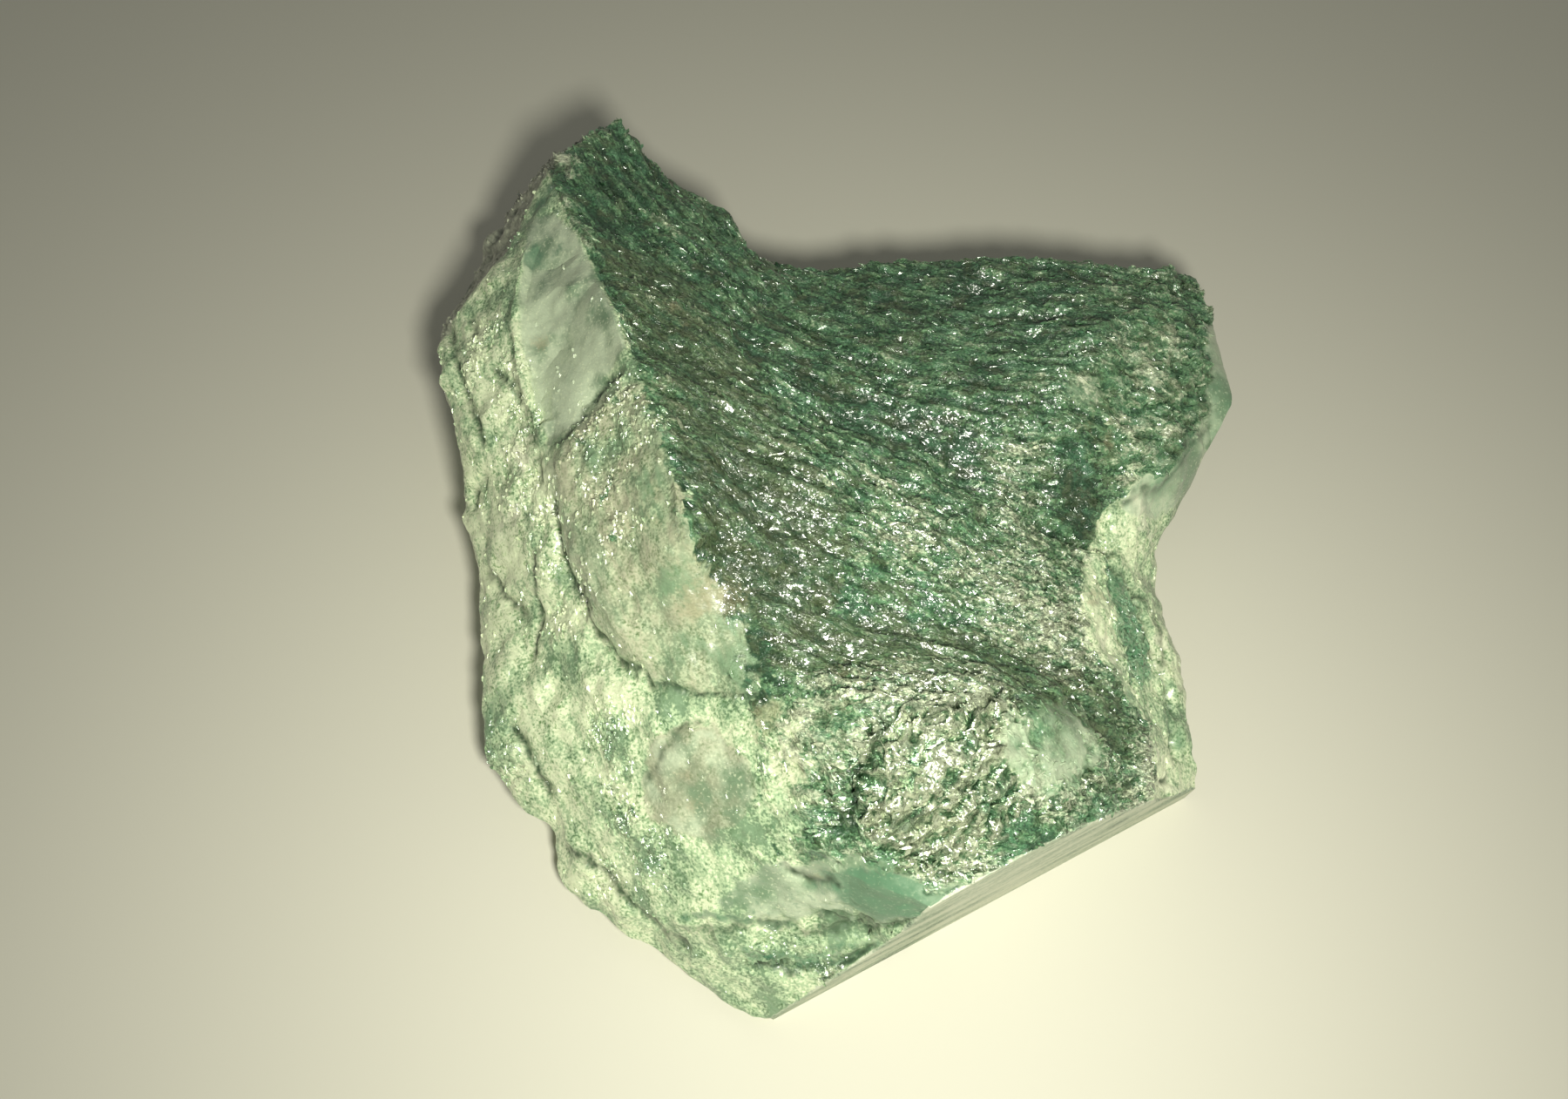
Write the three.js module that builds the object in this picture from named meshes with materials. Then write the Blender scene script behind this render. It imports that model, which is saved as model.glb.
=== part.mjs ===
// A hand-sized lump of raw fuchsite: green chromium mica schist grown together with pale quartz.
// It is one piece of stone. Its top is broken rock with a crest, ledges, hollows and a rounded knob,
// its long front edge is one flat saw cut, and it lies on a broad flat parting face.
//
// Millimetres, +Z up, +X to the right and +Y to the back of the stone as it lies.
// The origin is at the middle of its bounding box, on the surface that it rests on.
import * as THREE from "three";
import { mergeVertices } from "three/addons/utils/BufferGeometryUtils.js";
import { ImprovedNoise } from "three/addons/math/ImprovedNoise.js";

const topStep = 1.95; // spacing of the points over the top
const underStep = 6; // spacing of the points over the underside
const wallRings = 6; // rings of points between the rim and the underside
const wallBulge = 1.4; // how far the broken sides swell outwards half-way down
const underTuck = 0.1; // share by which the underside is smaller than the rim
const underChip = 2.2; // height of the chipped edge of the underside above the resting face
const restInset = 7; // distance from that edge to the flat resting face
const lumpHeight = 0.7; // height of the broken surface's rounded lumps
const grainHeight = 0.55; // height of the ridges that follow the layers of mica
const grainWidth = 4.2; // their width
const grainLength = 15; // their length
const rimRoughness = 0.4; // how far the broken rim and the crisp lines wander to the side

// The saw cut is a vertical plane: its right end, its direction across the ground, and the height
// of its upper edge at distances along it.
const cutEnd = new THREE.Vector2(40.1, -27.6);
const cutDirection = new THREE.Vector2(-0.894, -0.448).normalize();
const cutEdge = [[0, 4], [5.5, 9], [10.8, 15], [15.5, 20.5], [20.8, 24], [26, 25.7], [30.5, 25.5],
  [34.5, 24.8], [36.6, 24], [37.6, 19.5], [38.8, 15.5], [41.5, 12.5], [45, 8.5], [49, 5], [52.5, 2.5]];

// The rim is the outermost line of the stone seen from above, as [x, y, z], clockwise from the peak.
const backRim = [[-27.2, 51.4, 27], [-25.4, 50, 26], [-23.3, 48.2, 24], [-21.6, 45.9, 23],
  [-20.1, 45.5, 22], [-16.9, 44.3, 22], [-13.8, 41.3, 22], [-11.3, 38.8, 21], [-9.4, 36, 20],
  [-7.5, 35.8, 19], [-4.8, 34.8, 19], [-1.6, 34.1, 19], [2.3, 34.2, 19], [5.5, 34.8, 19],
  [9.9, 35.6, 19], [14.3, 35.3, 19], [19, 35.2, 20], [23.4, 35.2, 20], [28.2, 34.7, 20],
  [33.3, 35.1, 19], [37.6, 34.4, 19], [42.9, 34.8, 18], [46.1, 34.4, 17], [47, 31.6, 17],
  [47.4, 27.2, 17], [47.4, 23.2, 17], [47.5, 18, 17], [47.6, 15.1, 17]];
const rightRim = [[46.5, 13.3, 16.2], [44.5, 10, 15], [42.5, 6.8, 13.8], [40.4, 3.8, 12.5],
  [39.2, 1.7, 11], [38.3, 0.3, 9], [38.9, -1.2, 6.5], [38.7, -4.5, 6], [39.1, -7.9, 6],
  [39.7, -11.7, 6], [39.9, -15.5, 6], [40.1, -19.2, 6], [39.9, -22.8, 6], [40, -25.5, 5]];
const leftRim = [[-9.1, -50.9, 1.5], [-13.2, -48.7, 1.5], [-16, -46.5, 2], [-22.5, -43, 3],
  [-27.4, -39.7, 3], [-30.3, -37, 4], [-30.8, -35.3, 4], [-30.5, -32.7, 6], [-33.8, -30.6, 6],
  [-37.1, -27, 7], [-38.3, -25.6, 8], [-38.6, -23.2, 9], [-39.4, -17, 10], [-39.6, -13.9, 10],
  [-40.4, -10.7, 10], [-41.1, -7.5, 10], [-40.7, -4, 12], [-41.8, -0.4, 12], [-43.3, 1.7, 12],
  [-43.9, 4.7, 12], [-42.7, 5.8, 15], [-43.7, 9.4, 17], [-45, 14.1, 19], [-46.2, 17.1, 20],
  [-46.9, 20.9, 20], [-47.6, 25.1, 18], [-46.2, 30.6, 17], [-44.9, 33.4, 17], [-44.2, 37.9, 16],
  [-44.7, 40.5, 16], [-44, 42.6, 16], [-42.1, 42.6, 17], [-41.9, 45.9, 17], [-40.4, 48.2, 17],
  [-38.3, 49.5, 18], [-35.8, 50.6, 20], [-32.7, 51.8, 22]];

// Lines that shape the top, as [x, y, z]. Crisp lines stay sharp and soft lines are rounded over.
const crispLines = {
  leftBevel: [[-28.5, 48.1, 28], [-30.7, 46.2, 28], [-32.4, 43.7, 28], [-33.8, 41.5, 28],
    [-36.1, 38.7, 27], [-36.7, 35, 26], [-38.6, 31.9, 25], [-41, 28.7, 24], [-42.5, 26.3, 23],
    [-44.6, 24.6, 21.5]],
  crest: [[-28.5, 48.1, 28], [-31.2, 40.4, 29], [-31.5, 34.4, 29.8], [-29.7, 29.8, 30.6],
    [-28, 25.3, 31.5], [-26.5, 20.7, 32.5], [-24.4, 16.2, 33.5], [-22.9, 12, 34.5], [-21.7, 8.2, 35],
    [-20.2, 4.3, 36], [-18.8, 0.8, 36.5], [-17, -3.9, 37.5], [-16, -8.5, 38], [-14.2, -13.5, 37.6]],
  slabFoot: [[-21.9, 7.4, 33.5], [-25.2, 7.5, 30], [-28.1, 5.3, 27.5], [-31.7, 3.6, 25],
    [-30.9, -1, 24], [-29.9, -4.9, 23.3], [-28.8, -8.5, 22.4], [-27.6, -12, 21.6], [-26.3, -14.8, 21.2],
    [-24.5, -17.7, 21.2], [-22.3, -20.2, 21.8], [-20.6, -22, 22.5], [-18.3, -23, 23.5],
    [-15.2, -24.4, 24.5]],
  slabEdge: [[-20.4, 3.6, 35.8], [-22.8, 3.4, 33.4], [-25.4, 2.7, 31.4], [-28.2, 2.2, 29.2],
    [-29.1, -0.9, 28.6], [-28.5, -4.6, 28.3], [-27.3, -8, 28], [-25.7, -12, 27.6], [-22.9, -16.8, 27.3],
    [-20.9, -19.8, 26.8], [-18.9, -21.8, 26.3], [-16.3, -23.2, 26]],
  stripEdge: [[-35.9, 29.5, 27.5], [-36.2, 23.7, 27.6], [-36.2, 18.8, 27.4], [-35.7, 15.5, 27],
    [-34.5, 11.1, 26.6], [-33.1, 6.8, 26], [-32.1, 2.8, 25]],
  stripFoot: [[-34.8, 29.2, 26.6], [-35, 23.6, 26.5], [-35, 19.1, 26.3], [-34.4, 15.7, 25.9],
    [-33.2, 11.5, 25.5], [-31.8, 7.4, 25.2]],
  lobeGroove: [[-41.4, 3.3, 14.5], [-39.6, 4.6, 16.5], [-38, 0.1, 16.8], [-38.6, -3, 15.2],
    [-39.3, -5.4, 12.6], [-35.8, -10.9, 14.4], [-33.2, -16.4, 14.4], [-33.2, -22.9, 12.8],
    [-31.7, -26.7, 11.6], [-29.9, -30.4, 9.2]],
  knobBrow: [[-5.9, -38.9, 21], [-3.9, -39.2, 22.5], [-1.2, -40.7, 24], [1.9, -42, 25],
    [4.9, -43.1, 25.2]],
  faceFoot: [[-16.3, -43.2, 11], [-11, -43.1, 13], [-7.6, -42.9, 14], [-3.4, -43.6, 13.5],
    [-0.8, -44.3, 13.5], [2.5, -44.7, 14]],
  lobeEdge: [[45.4, 11.8, 17], [41.9, 8.8, 18], [38.6, 4.8, 18.5], [32.4, 1, 18.6], [29.8, -1, 17.6]],
  rightEdge: [[26.3, -7.5, 19.5], [25.6, -12.9, 20], [29, -22, 18], [30.4, -26.6, 18.5],
    [30.2, -30.4, 17.5]],
  rightCrack: [[27.5, -4.8, 17.5], [28.4, -8.5, 17], [30.6, -12.2, 14.8], [32.9, -14.8, 12.2],
    [36.2, -14.9, 9]],
};
const softLines = {
  backHollow: [[-6.4, 24.5, 22], [-3.4, 16.2, 24.5], [-0.2, 7.5, 26]],
  backStep: [[-20, 45.4, 22.8], [-17.3, 37.7, 24], [-14.7, 29.8, 25.2], [-12.1, 22.5, 26.4]],
  backStepFoot: [[-15.8, 38.8, 22.4], [-13.2, 30.9, 23.6], [-10.4, 23.7, 24.4]],
  notchHollow: [[31.6, -3.3, 14], [28.5, -3.6, 16.2], [24.1, -2, 19.4], [20, -2, 21.4],
    [14.7, -0.1, 23], [7.2, 3.6, 25], [-0.2, 7.5, 26]],
  middleRise: [[-8.5, -0.3, 32], [-1.6, -5.6, 31.5], [6.9, -10.6, 30], [16.3, -11.5, 26.5],
    [23.5, -12.3, 21.5]],
  knobHollow: [[-7.5, -19.9, 31.5], [-2.6, -19.2, 28.6], [2.6, -16.8, 26.6], [9.6, -16.4, 25],
    [16.8, -18.1, 22.6], [24.6, -18.1, 19.5]],
  knobCrown: [[-5.9, -26.8, 30.6], [-1.2, -27.3, 32.5], [4.7, -29.5, 34.3], [10.8, -30.1, 33.7],
    [17.5, -29.9, 30.7], [25, -31.4, 25]],
  knobLimb: [[-4.6, -31, 29.5], [-4.4, -35.6, 26.5], [-2.6, -38.2, 24.6]],
  knobShoulder: [[-1.2, -32.2, 32], [0.4, -37, 30.6], [2.4, -39, 29.6], [7.5, -35.4, 33],
    [15.6, -34.6, 30]],
  backRise: [[5, 17, 24.6], [11, 11, 25.6], [17.5, 6.5, 26], [23, 5.6, 26], [29.5, 6.4, 24.6]],
  lobeRise: [[25.5, 12, 26.4], [29.5, 18.5, 26.2], [34, 23, 25], [39.5, 24, 22.4], [44, 22.5, 20]],
  lobeSlope: [[34.5, 10.5, 22.4], [39, 14, 20.6], [43.5, 16.5, 19]],
  stripRise: [[-41.5, 22.2, 23], [-38.6, 16.2, 25.6], [-37.6, 9.7, 24.4], [-36.6, 4.2, 22],
    [-35.2, -2.8, 19.6]],
  facetHollow: [[-32.3, 28.2, 26.9], [-30.8, 20.7, 26.9], [-30.4, 13.2, 26.6]],
  innerLedge: [[-32.5, -10, 18.5], [-30.3, -16.5, 17.3], [-29.6, -23, 15.5], [-27.5, -29, 12.5]],
  lobeCrown: [[-38.8, -9.3, 13.6], [-36, -15.5, 15], [-36.3, -20.5, 13.8], [-35.1, -25.5, 12],
    [-33, -29.2, 9.4]],
  lowTerrace: [[-26.5, -23.3, 17.5], [-22, -31.3, 17], [-15.5, -35.8, 18.5], [-25.5, -33.3, 11]],
  footGroove: [[-28.6, -34.6, 8.2], [-24.9, -39.2, 7.2], [-20.1, -43.2, 6.2], [-15.2, -45.6, 5.4]],
  footCrown: [[-28.2, -37.4, 7], [-23.9, -41.3, 6.6], [-19, -44.6, 5.8]],
  rightLedge: [[36, -4.3, 11], [33, -8.4, 12.5], [36.4, -18.9, 8.5], [35.9, -25.4, 8.5]],
};

// The layers of mica run in these directions around these places, as [x, y, degrees].
const grainFlow = [[-38, 8, -76], [-12, 28, -62], [6, 2, -36], [14, -19, -10], [30, 14, 24],
  [-22, -28, -60]];

const noise = new ImprovedNoise();
// Perlin noise of lumps this wide, from about -1 to 1. Each seed gives another pattern.
const lumps = (point, width, seed) =>
  noise.noise(point.x / width + seed, point.y / width - seed, (point.z ?? 0) / width + 0.37 * seed);

// Long ridges along the layers of mica, from about -1 to 1. Each place of the flow has its own set
// of straight ridges, and the nearest places count for most.
function grain(point) {
  let sum = 0;
  let weights = 0;
  grainFlow.forEach(([x, y, degrees], i) => {
    const turn = -THREE.MathUtils.degToRad(degrees);
    const along = new THREE.Vector2(point.x, point.y).rotateAround(new THREE.Vector2(), turn);
    const weight = 1 / ((point.x - x) ** 2 + (point.y - y) ** 2 + 20) ** 1.5;
    const wave = noise.noise(along.x / grainLength, along.y / grainWidth, 5.3 * i + 0.5);
    sum += weight * (1 - 3 * Math.abs(wave));
    weights += weight;
  });
  return sum / weights;
}

// Points along a smooth curve through the given ones, no further apart than step.
function trace(points, step) {
  const corners = points.map((p) => new THREE.Vector3(...p));
  const curve = new THREE.CatmullRomCurve3(corners, false, "centripetal");
  return curve.getSpacedPoints(Math.ceil(curve.getLength() / step));
}

// The same with a broken line's small wandering to the side.
function traceBroken(points) {
  return trace(points, topStep).map((point) => {
    const wander = new THREE.Vector3(lumps(point, 2.3, 31), lumps(point, 2.3, 47), 0);
    return point.addScaledVector(wander, rimRoughness);
  });
}

// The upper edge of the saw cut, point by point from its right end to its left end.
function traceCut(step) {
  const upper = cutEdge.map(([along, height]) => {
    const ground = cutEnd.clone().addScaledVector(cutDirection, along);
    return new THREE.Vector3(ground.x, ground.y, height);
  });
  const spans = upper.slice(1).map((end, i) => {
    const count = Math.max(1, Math.round(upper[i].distanceTo(end) / step));
    return Array.from({ length: count }, (_, k) => upper[i].clone().lerp(end, k / count));
  });
  return [...spans.flat(), upper.at(-1)];
}

// The whole rim as one closed ring of { point, cut }, where cut is true along the saw cut.
function traceRim() {
  const cut = traceCut(topStep).map((point) => ({ point, cut: true }));
  const right = [...rightRim, cut[0].point.toArray()];
  const left = [cut.at(-1).point.toArray(), ...leftRim, backRim[0]];
  const broken = (points) => traceBroken(points).slice(0, -1).map((point) => ({ point, cut: false }));
  return [...broken(backRim), ...broken([backRim.at(-1), ...right]), ...cut, ...broken(left).slice(1)];
}

// Whether a point of the ground plan lies inside a closed ring.
function isInside(point, ring) {
  let inside = false;
  ring.forEach((a, i) => {
    const b = ring.at(i - 1);
    const crosses = a.y > point.y !== b.y > point.y;
    if (crosses && point.x < ((b.x - a.x) * (point.y - a.y)) / (b.y - a.y) + a.x) inside = !inside;
  });
  return inside;
}

// A triangular lattice of points inside a ring, none of them nearer than gap steps to a point that
// is there already.
function fillLattice(ring, existing, step, gap = 0.68) {
  const box = new THREE.Box2().setFromPoints(ring);
  const filled = [];
  const rowHeight = (step * Math.sqrt(3)) / 2;
  for (let row = 0, y = box.min.y; y < box.max.y; row += 1, y += rowHeight) {
    for (let x = box.min.x + (row % 2 ? step / 2 : 0); x < box.max.x; x += step) {
      const stray = step * 0.22;
      const point = new THREE.Vector3(x, y, 0);
      point.x += stray * lumps(point, step * 0.9, 11);
      point.y += stray * lumps(point, step * 0.9, 23);
      const near = existing.some((p) => Math.hypot(p.x - point.x, p.y - point.y) < gap * step);
      if (!near && isInside(point, ring)) filled.push(point);
    }
  }
  return filled;
}

// Delaunay triangles of points in the ground plan, as index triples that face up.
function triangulate(points) {
  const far = 1e4;
  const all = [...points, { x: -far, y: -far }, { x: far, y: -far }, { x: 0, y: far }];
  const withCircle = (a, b, c) => {
    const [p, q, r] = [all[a], all[b], all[c]];
    const [qx, qy, rx, ry] = [q.x - p.x, q.y - p.y, r.x - p.x, r.y - p.y];
    const twice = 2 * (qx * ry - qy * rx);
    const [qq, rr] = [qx * qx + qy * qy, rx * rx + ry * ry];
    const [ux, uy] = [(ry * qq - qy * rr) / twice, (qx * rr - rx * qq) / twice];
    return { corners: [a, b, c], x: p.x + ux, y: p.y + uy, radius: ux * ux + uy * uy };
  };
  let triangles = [withCircle(points.length, points.length + 1, points.length + 2)];
  points.forEach((point, index) => {
    const holds = (t) => (t.x - point.x) ** 2 + (t.y - point.y) ** 2 < t.radius;
    const edges = new Map();
    for (const { corners } of triangles.filter(holds)) {
      corners.forEach((from, i) => {
        const to = corners[(i + 1) % 3];
        if (!edges.delete(`${to},${from}`)) edges.set(`${from},${to}`, [from, to]);
      });
    }
    triangles = triangles.filter((t) => !holds(t));
    for (const [from, to] of edges.values()) triangles.push(withCircle(from, to, index));
  });
  return triangles.map((t) => t.corners).filter((corners) => Math.max(...corners) < points.length);
}

// The triangles of a face whose boundary is the closed ring that comes first in points.
function triangulateInside(points, ring) {
  return triangulate(points).filter((corners) => {
    const middle = corners.reduce((sum, i) => sum.add(points[i]), new THREE.Vector3()).divideScalar(3);
    return isInside(middle, ring);
  });
}

// Moves the height of each free point towards its neighbours' mean, pass after pass.
function relax(points, triangles, isFree, passes, share) {
  const neighbours = points.map(() => new Set());
  for (const corners of triangles) {
    corners.forEach((from, i) => {
      neighbours[from].add(corners[(i + 1) % 3]);
      neighbours[from].add(corners[(i + 2) % 3]);
    });
  }
  for (let pass = 0; pass < passes; pass += 1) {
    points.forEach((point, i) => {
      if (!isFree(i)) return;
      let sum = 0;
      for (const n of neighbours[i]) sum += points[n].z;
      point.z += share * (sum / neighbours[i].size - point.z);
    });
  }
}

// Drops the points of a line that stand too near to one that is kept.
function keepApart(kept, added, gap) {
  for (const point of added) {
    if (!kept.some((p) => Math.hypot(p.x - point.x, p.y - point.y) < gap)) kept.push(point);
  }
  return kept;
}

// The top: a film stretched over the rim and the crisp and soft lines, then roughened.
function makeTop(rim) {
  const ring = rim.map(({ point }) => point);
  const points = [...ring];
  for (const line of Object.values(crispLines)) keepApart(points, traceBroken(line), 0.45 * topStep);
  const crispCount = points.length;
  for (const line of Object.values(softLines)) keepApart(points, trace(line, topStep), 0.6 * topStep);
  const lineCount = points.length;
  points.push(...fillLattice(ring, points, topStep));
  const triangles = triangulateInside(points, ring);
  const mean = ring.reduce((sum, p) => sum + p.z, 0) / ring.length;
  points.forEach((point, i) => {
    if (i >= lineCount) point.z = mean;
  });
  relax(points, triangles, (i) => i >= lineCount, 400, 1);
  relax(points, triangles, (i) => i >= crispCount, 4, 0.5);
  for (const point of points) {
    const low = Math.min(1, point.z / 8);
    const lump = lumpHeight * (lumps(point, 9, 3) + 0.6 * lumps(point, 4.6, 8));
    point.z += low * (lump + grainHeight * grain(point));
  }
  return { points, triangles };
}

// One ring of the sides, at a share of the way from the rim down to the underside.
function wallRing(rim, share) {
  const centre = new THREE.Vector3();
  rim.forEach(({ point }) => centre.addScaledVector(point, 1 / rim.length));
  const distanceToCut = (point) => Math.min(
    ...rim.filter(({ cut }) => cut).map((r) => Math.hypot(r.point.x - point.x, r.point.y - point.y)));
  return rim.map(({ point, cut }) => {
    const away = cut ? 0 : Math.min(1, distanceToCut(point) / 12);
    const outward = point.clone().sub(centre).setZ(0);
    const reach = outward.length();
    outward.normalize();
    const foot = point.clone().addScaledVector(outward, -away * underTuck * reach);
    foot.z = away * Math.min(underChip, 0.5 * point.z);
    const ringPoint = point.clone().lerp(foot, share);
    const swell = Math.sin(Math.PI * share) * Math.min(1, point.z / 12) * away;
    const layered = new THREE.Vector3(ringPoint.x / 2.2, ringPoint.y / 2.2, ringPoint.z);
    const rough = lumps(ringPoint, 7, 5) + 0.8 * lumps(layered, 4, 7);
    return ringPoint.addScaledVector(outward, swell * (wallBulge + 1.7 * rough));
  });
}

// The underside: a chipped edge that falls to the flat face on which the stone rests.
function makeUnderside(ring, rim) {
  const points = [...ring];
  points.push(...fillLattice(ring, points, underStep, 0.6));
  const edgeGap = (point) => Math.min(
    ...ring.filter((_, i) => !rim[i].cut).map((r) => Math.hypot(r.x - point.x, r.y - point.y)));
  points.forEach((point, i) => {
    if (i >= ring.length) point.z = underChip * (1 - Math.min(1, edgeGap(point) / restInset)) ** 2;
  });
  return { points, triangles: triangulateInside(points, ring) };
}

function makeStone() {
  const rim = traceRim();
  const count = rim.length;
  const top = makeTop(rim);
  const rings = Array.from({ length: wallRings }, (_, k) => wallRing(rim, (k + 1) / wallRings));
  const underside = makeUnderside(rings.at(-1), rim);
  const positions = [];
  const addTriangle = (...corners) => corners.forEach((p) => positions.push(p.x, p.y, p.z));
  top.triangles.forEach((corners) => addTriangle(...corners.map((i) => top.points[i])));
  [rim.map(({ point }) => point), ...rings].slice(0, -1).forEach((upper, k) => {
    const lower = rings[k];
    for (let i = 0; i < count; i += 1) {
      const next = (i + 1) % count;
      addTriangle(upper[i], upper[next], lower[next]);
      addTriangle(upper[i], lower[next], lower[i]);
    }
  });
  underside.triangles.forEach((corners) => {
    addTriangle(...corners.map((i) => underside.points[i]).reverse());
  });
  const stone = new THREE.BufferGeometry();
  stone.setAttribute("position", new THREE.Float32BufferAttribute(positions, 3));
  stone.computeBoundingBox();
  const middle = stone.boundingBox.getCenter(new THREE.Vector3());
  stone.translate(-middle.x, -middle.y, -stone.boundingBox.min.z);
  return mergeVertices(stone, 1e-4);
}

const fuchsite = new THREE.Mesh(
  makeStone(),
  new THREE.MeshStandardMaterial({ color: 0x6f9a72, roughness: 0.45, metalness: 0 }),
);
fuchsite.name = "fuchsite_stone";

const group = new THREE.Group();
group.name = "raw_fuchsite";
group.add(fuchsite);

export default group;
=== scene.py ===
import functools
import math
import bmesh
import bpy
import numpy as np
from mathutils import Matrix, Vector


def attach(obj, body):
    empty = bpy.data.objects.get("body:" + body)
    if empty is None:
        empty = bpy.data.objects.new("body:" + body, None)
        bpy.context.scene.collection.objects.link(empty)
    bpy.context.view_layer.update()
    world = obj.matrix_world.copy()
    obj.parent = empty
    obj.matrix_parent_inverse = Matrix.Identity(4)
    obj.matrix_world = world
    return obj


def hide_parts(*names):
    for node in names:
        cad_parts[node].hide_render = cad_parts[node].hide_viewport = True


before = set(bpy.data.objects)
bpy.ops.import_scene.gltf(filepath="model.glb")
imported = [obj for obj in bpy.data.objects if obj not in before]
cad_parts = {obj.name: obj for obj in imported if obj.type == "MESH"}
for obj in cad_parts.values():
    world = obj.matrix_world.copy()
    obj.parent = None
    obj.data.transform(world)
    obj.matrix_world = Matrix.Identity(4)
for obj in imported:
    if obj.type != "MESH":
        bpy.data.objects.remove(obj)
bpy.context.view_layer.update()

mm = 0.001


def clamp01(values):
    return np.clip(values, 0.0, 1.0)


def smoothStep(low, high, values):
    t = clamp01((values - low) / (high - low))
    return t * t * (3 - 2 * t)


def perlin(points, seed):
    # gradient noise of the points (n x 3), about -1 to 1; one lump is one unit wide
    table = np.random.default_rng(seed).permutation(256)
    gradients = np.random.default_rng(seed + 1).normal(size=(256, 3))
    gradients /= np.linalg.norm(gradients, axis=1)[:, None]
    base = np.floor(points).astype(int)
    local = points - base
    fade = local ** 3 * (local * (local * 6 - 15) + 10)
    total = np.zeros(len(points))
    for corner in np.ndindex(2, 2, 2):
        corner = np.array(corner)
        cell = (base + corner) & 255
        index = table[(table[(table[cell[:, 0]] + cell[:, 1]) & 255] + cell[:, 2]) & 255]
        weight = np.prod(np.where(corner, fade, 1 - fade), axis=1)
        total += weight * np.einsum("ij,ij->i", gradients[index], local - corner)
    return total * 1.5


def fractal(points, seed, octaves):
    return sum(perlin(points * 2 ** k, seed + 7 * k) / 2 ** k for k in range(octaves))


def shiftBy(points, width, seed, octaves=1):
    # three noises that push each point about by a length near one
    return np.stack([fractal(points / width, seed + 10 * k, octaves) for k in range(3)], axis=1)


def plateRelief(points, size, seed, lean=0.0):
    # height of a crust of plates: every cell of the points is one plate, tilted its own way;
    # a common lean across them makes them overlap like shingles
    random = np.random.default_rng(seed)
    table = random.permutation(1024)
    jitter = random.random((1024, 3))
    tilts = random.random((1024, 3)) * 2 - 1 + [0, lean, 0]
    scaled = points / size
    base = np.floor(scaled).astype(int)
    best = np.full(len(points), 9.0)
    height = np.zeros(len(points))
    for corner in np.ndindex(3, 3, 3):
        cell = base + np.array(corner) - 1
        index = table[(table[(table[cell[:, 0] & 1023] + cell[:, 1]) & 1023] + cell[:, 2]) & 1023]
        away = scaled - (cell + jitter[index])
        distance = np.einsum("ij,ij->i", away, away)
        nearer = distance < best
        height[nearer] = np.einsum("ij,ij->i", away[nearer], tilts[index[nearer]])
        best = np.where(nearer, distance, best)
    return height * size


def fromStretch(points, a, b):
    # distance in plan to the stretch from a to b, and where along it the nearest place is, 0 to 1
    start, run = np.array(a, float), np.array(b, float) - a
    along = np.clip(((points[:, :2] - start) @ run) / (run @ run), 0, 1)
    return np.linalg.norm(points[:, :2] - start - along[:, None] * run, axis=1), along


def outlineDistance(points, outline):
    # distance in plan to a closed outline, positive inside it
    inside = np.zeros(len(points), bool)
    nearest = np.full(len(points), 1e9)
    for a, b in zip(outline, outline[1:] + outline[:1]):
        nearest = np.minimum(nearest, fromStretch(points, a, b)[0])
        crosses = (a[1] > points[:, 1]) != (b[1] > points[:, 1])
        slope = (b[0] - a[0]) / ((b[1] - a[1]) or 1e-9)
        inside ^= crosses & (points[:, 0] < slope * (points[:, 1] - a[1]) + a[0])
    return np.where(inside, nearest, -nearest)


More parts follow.
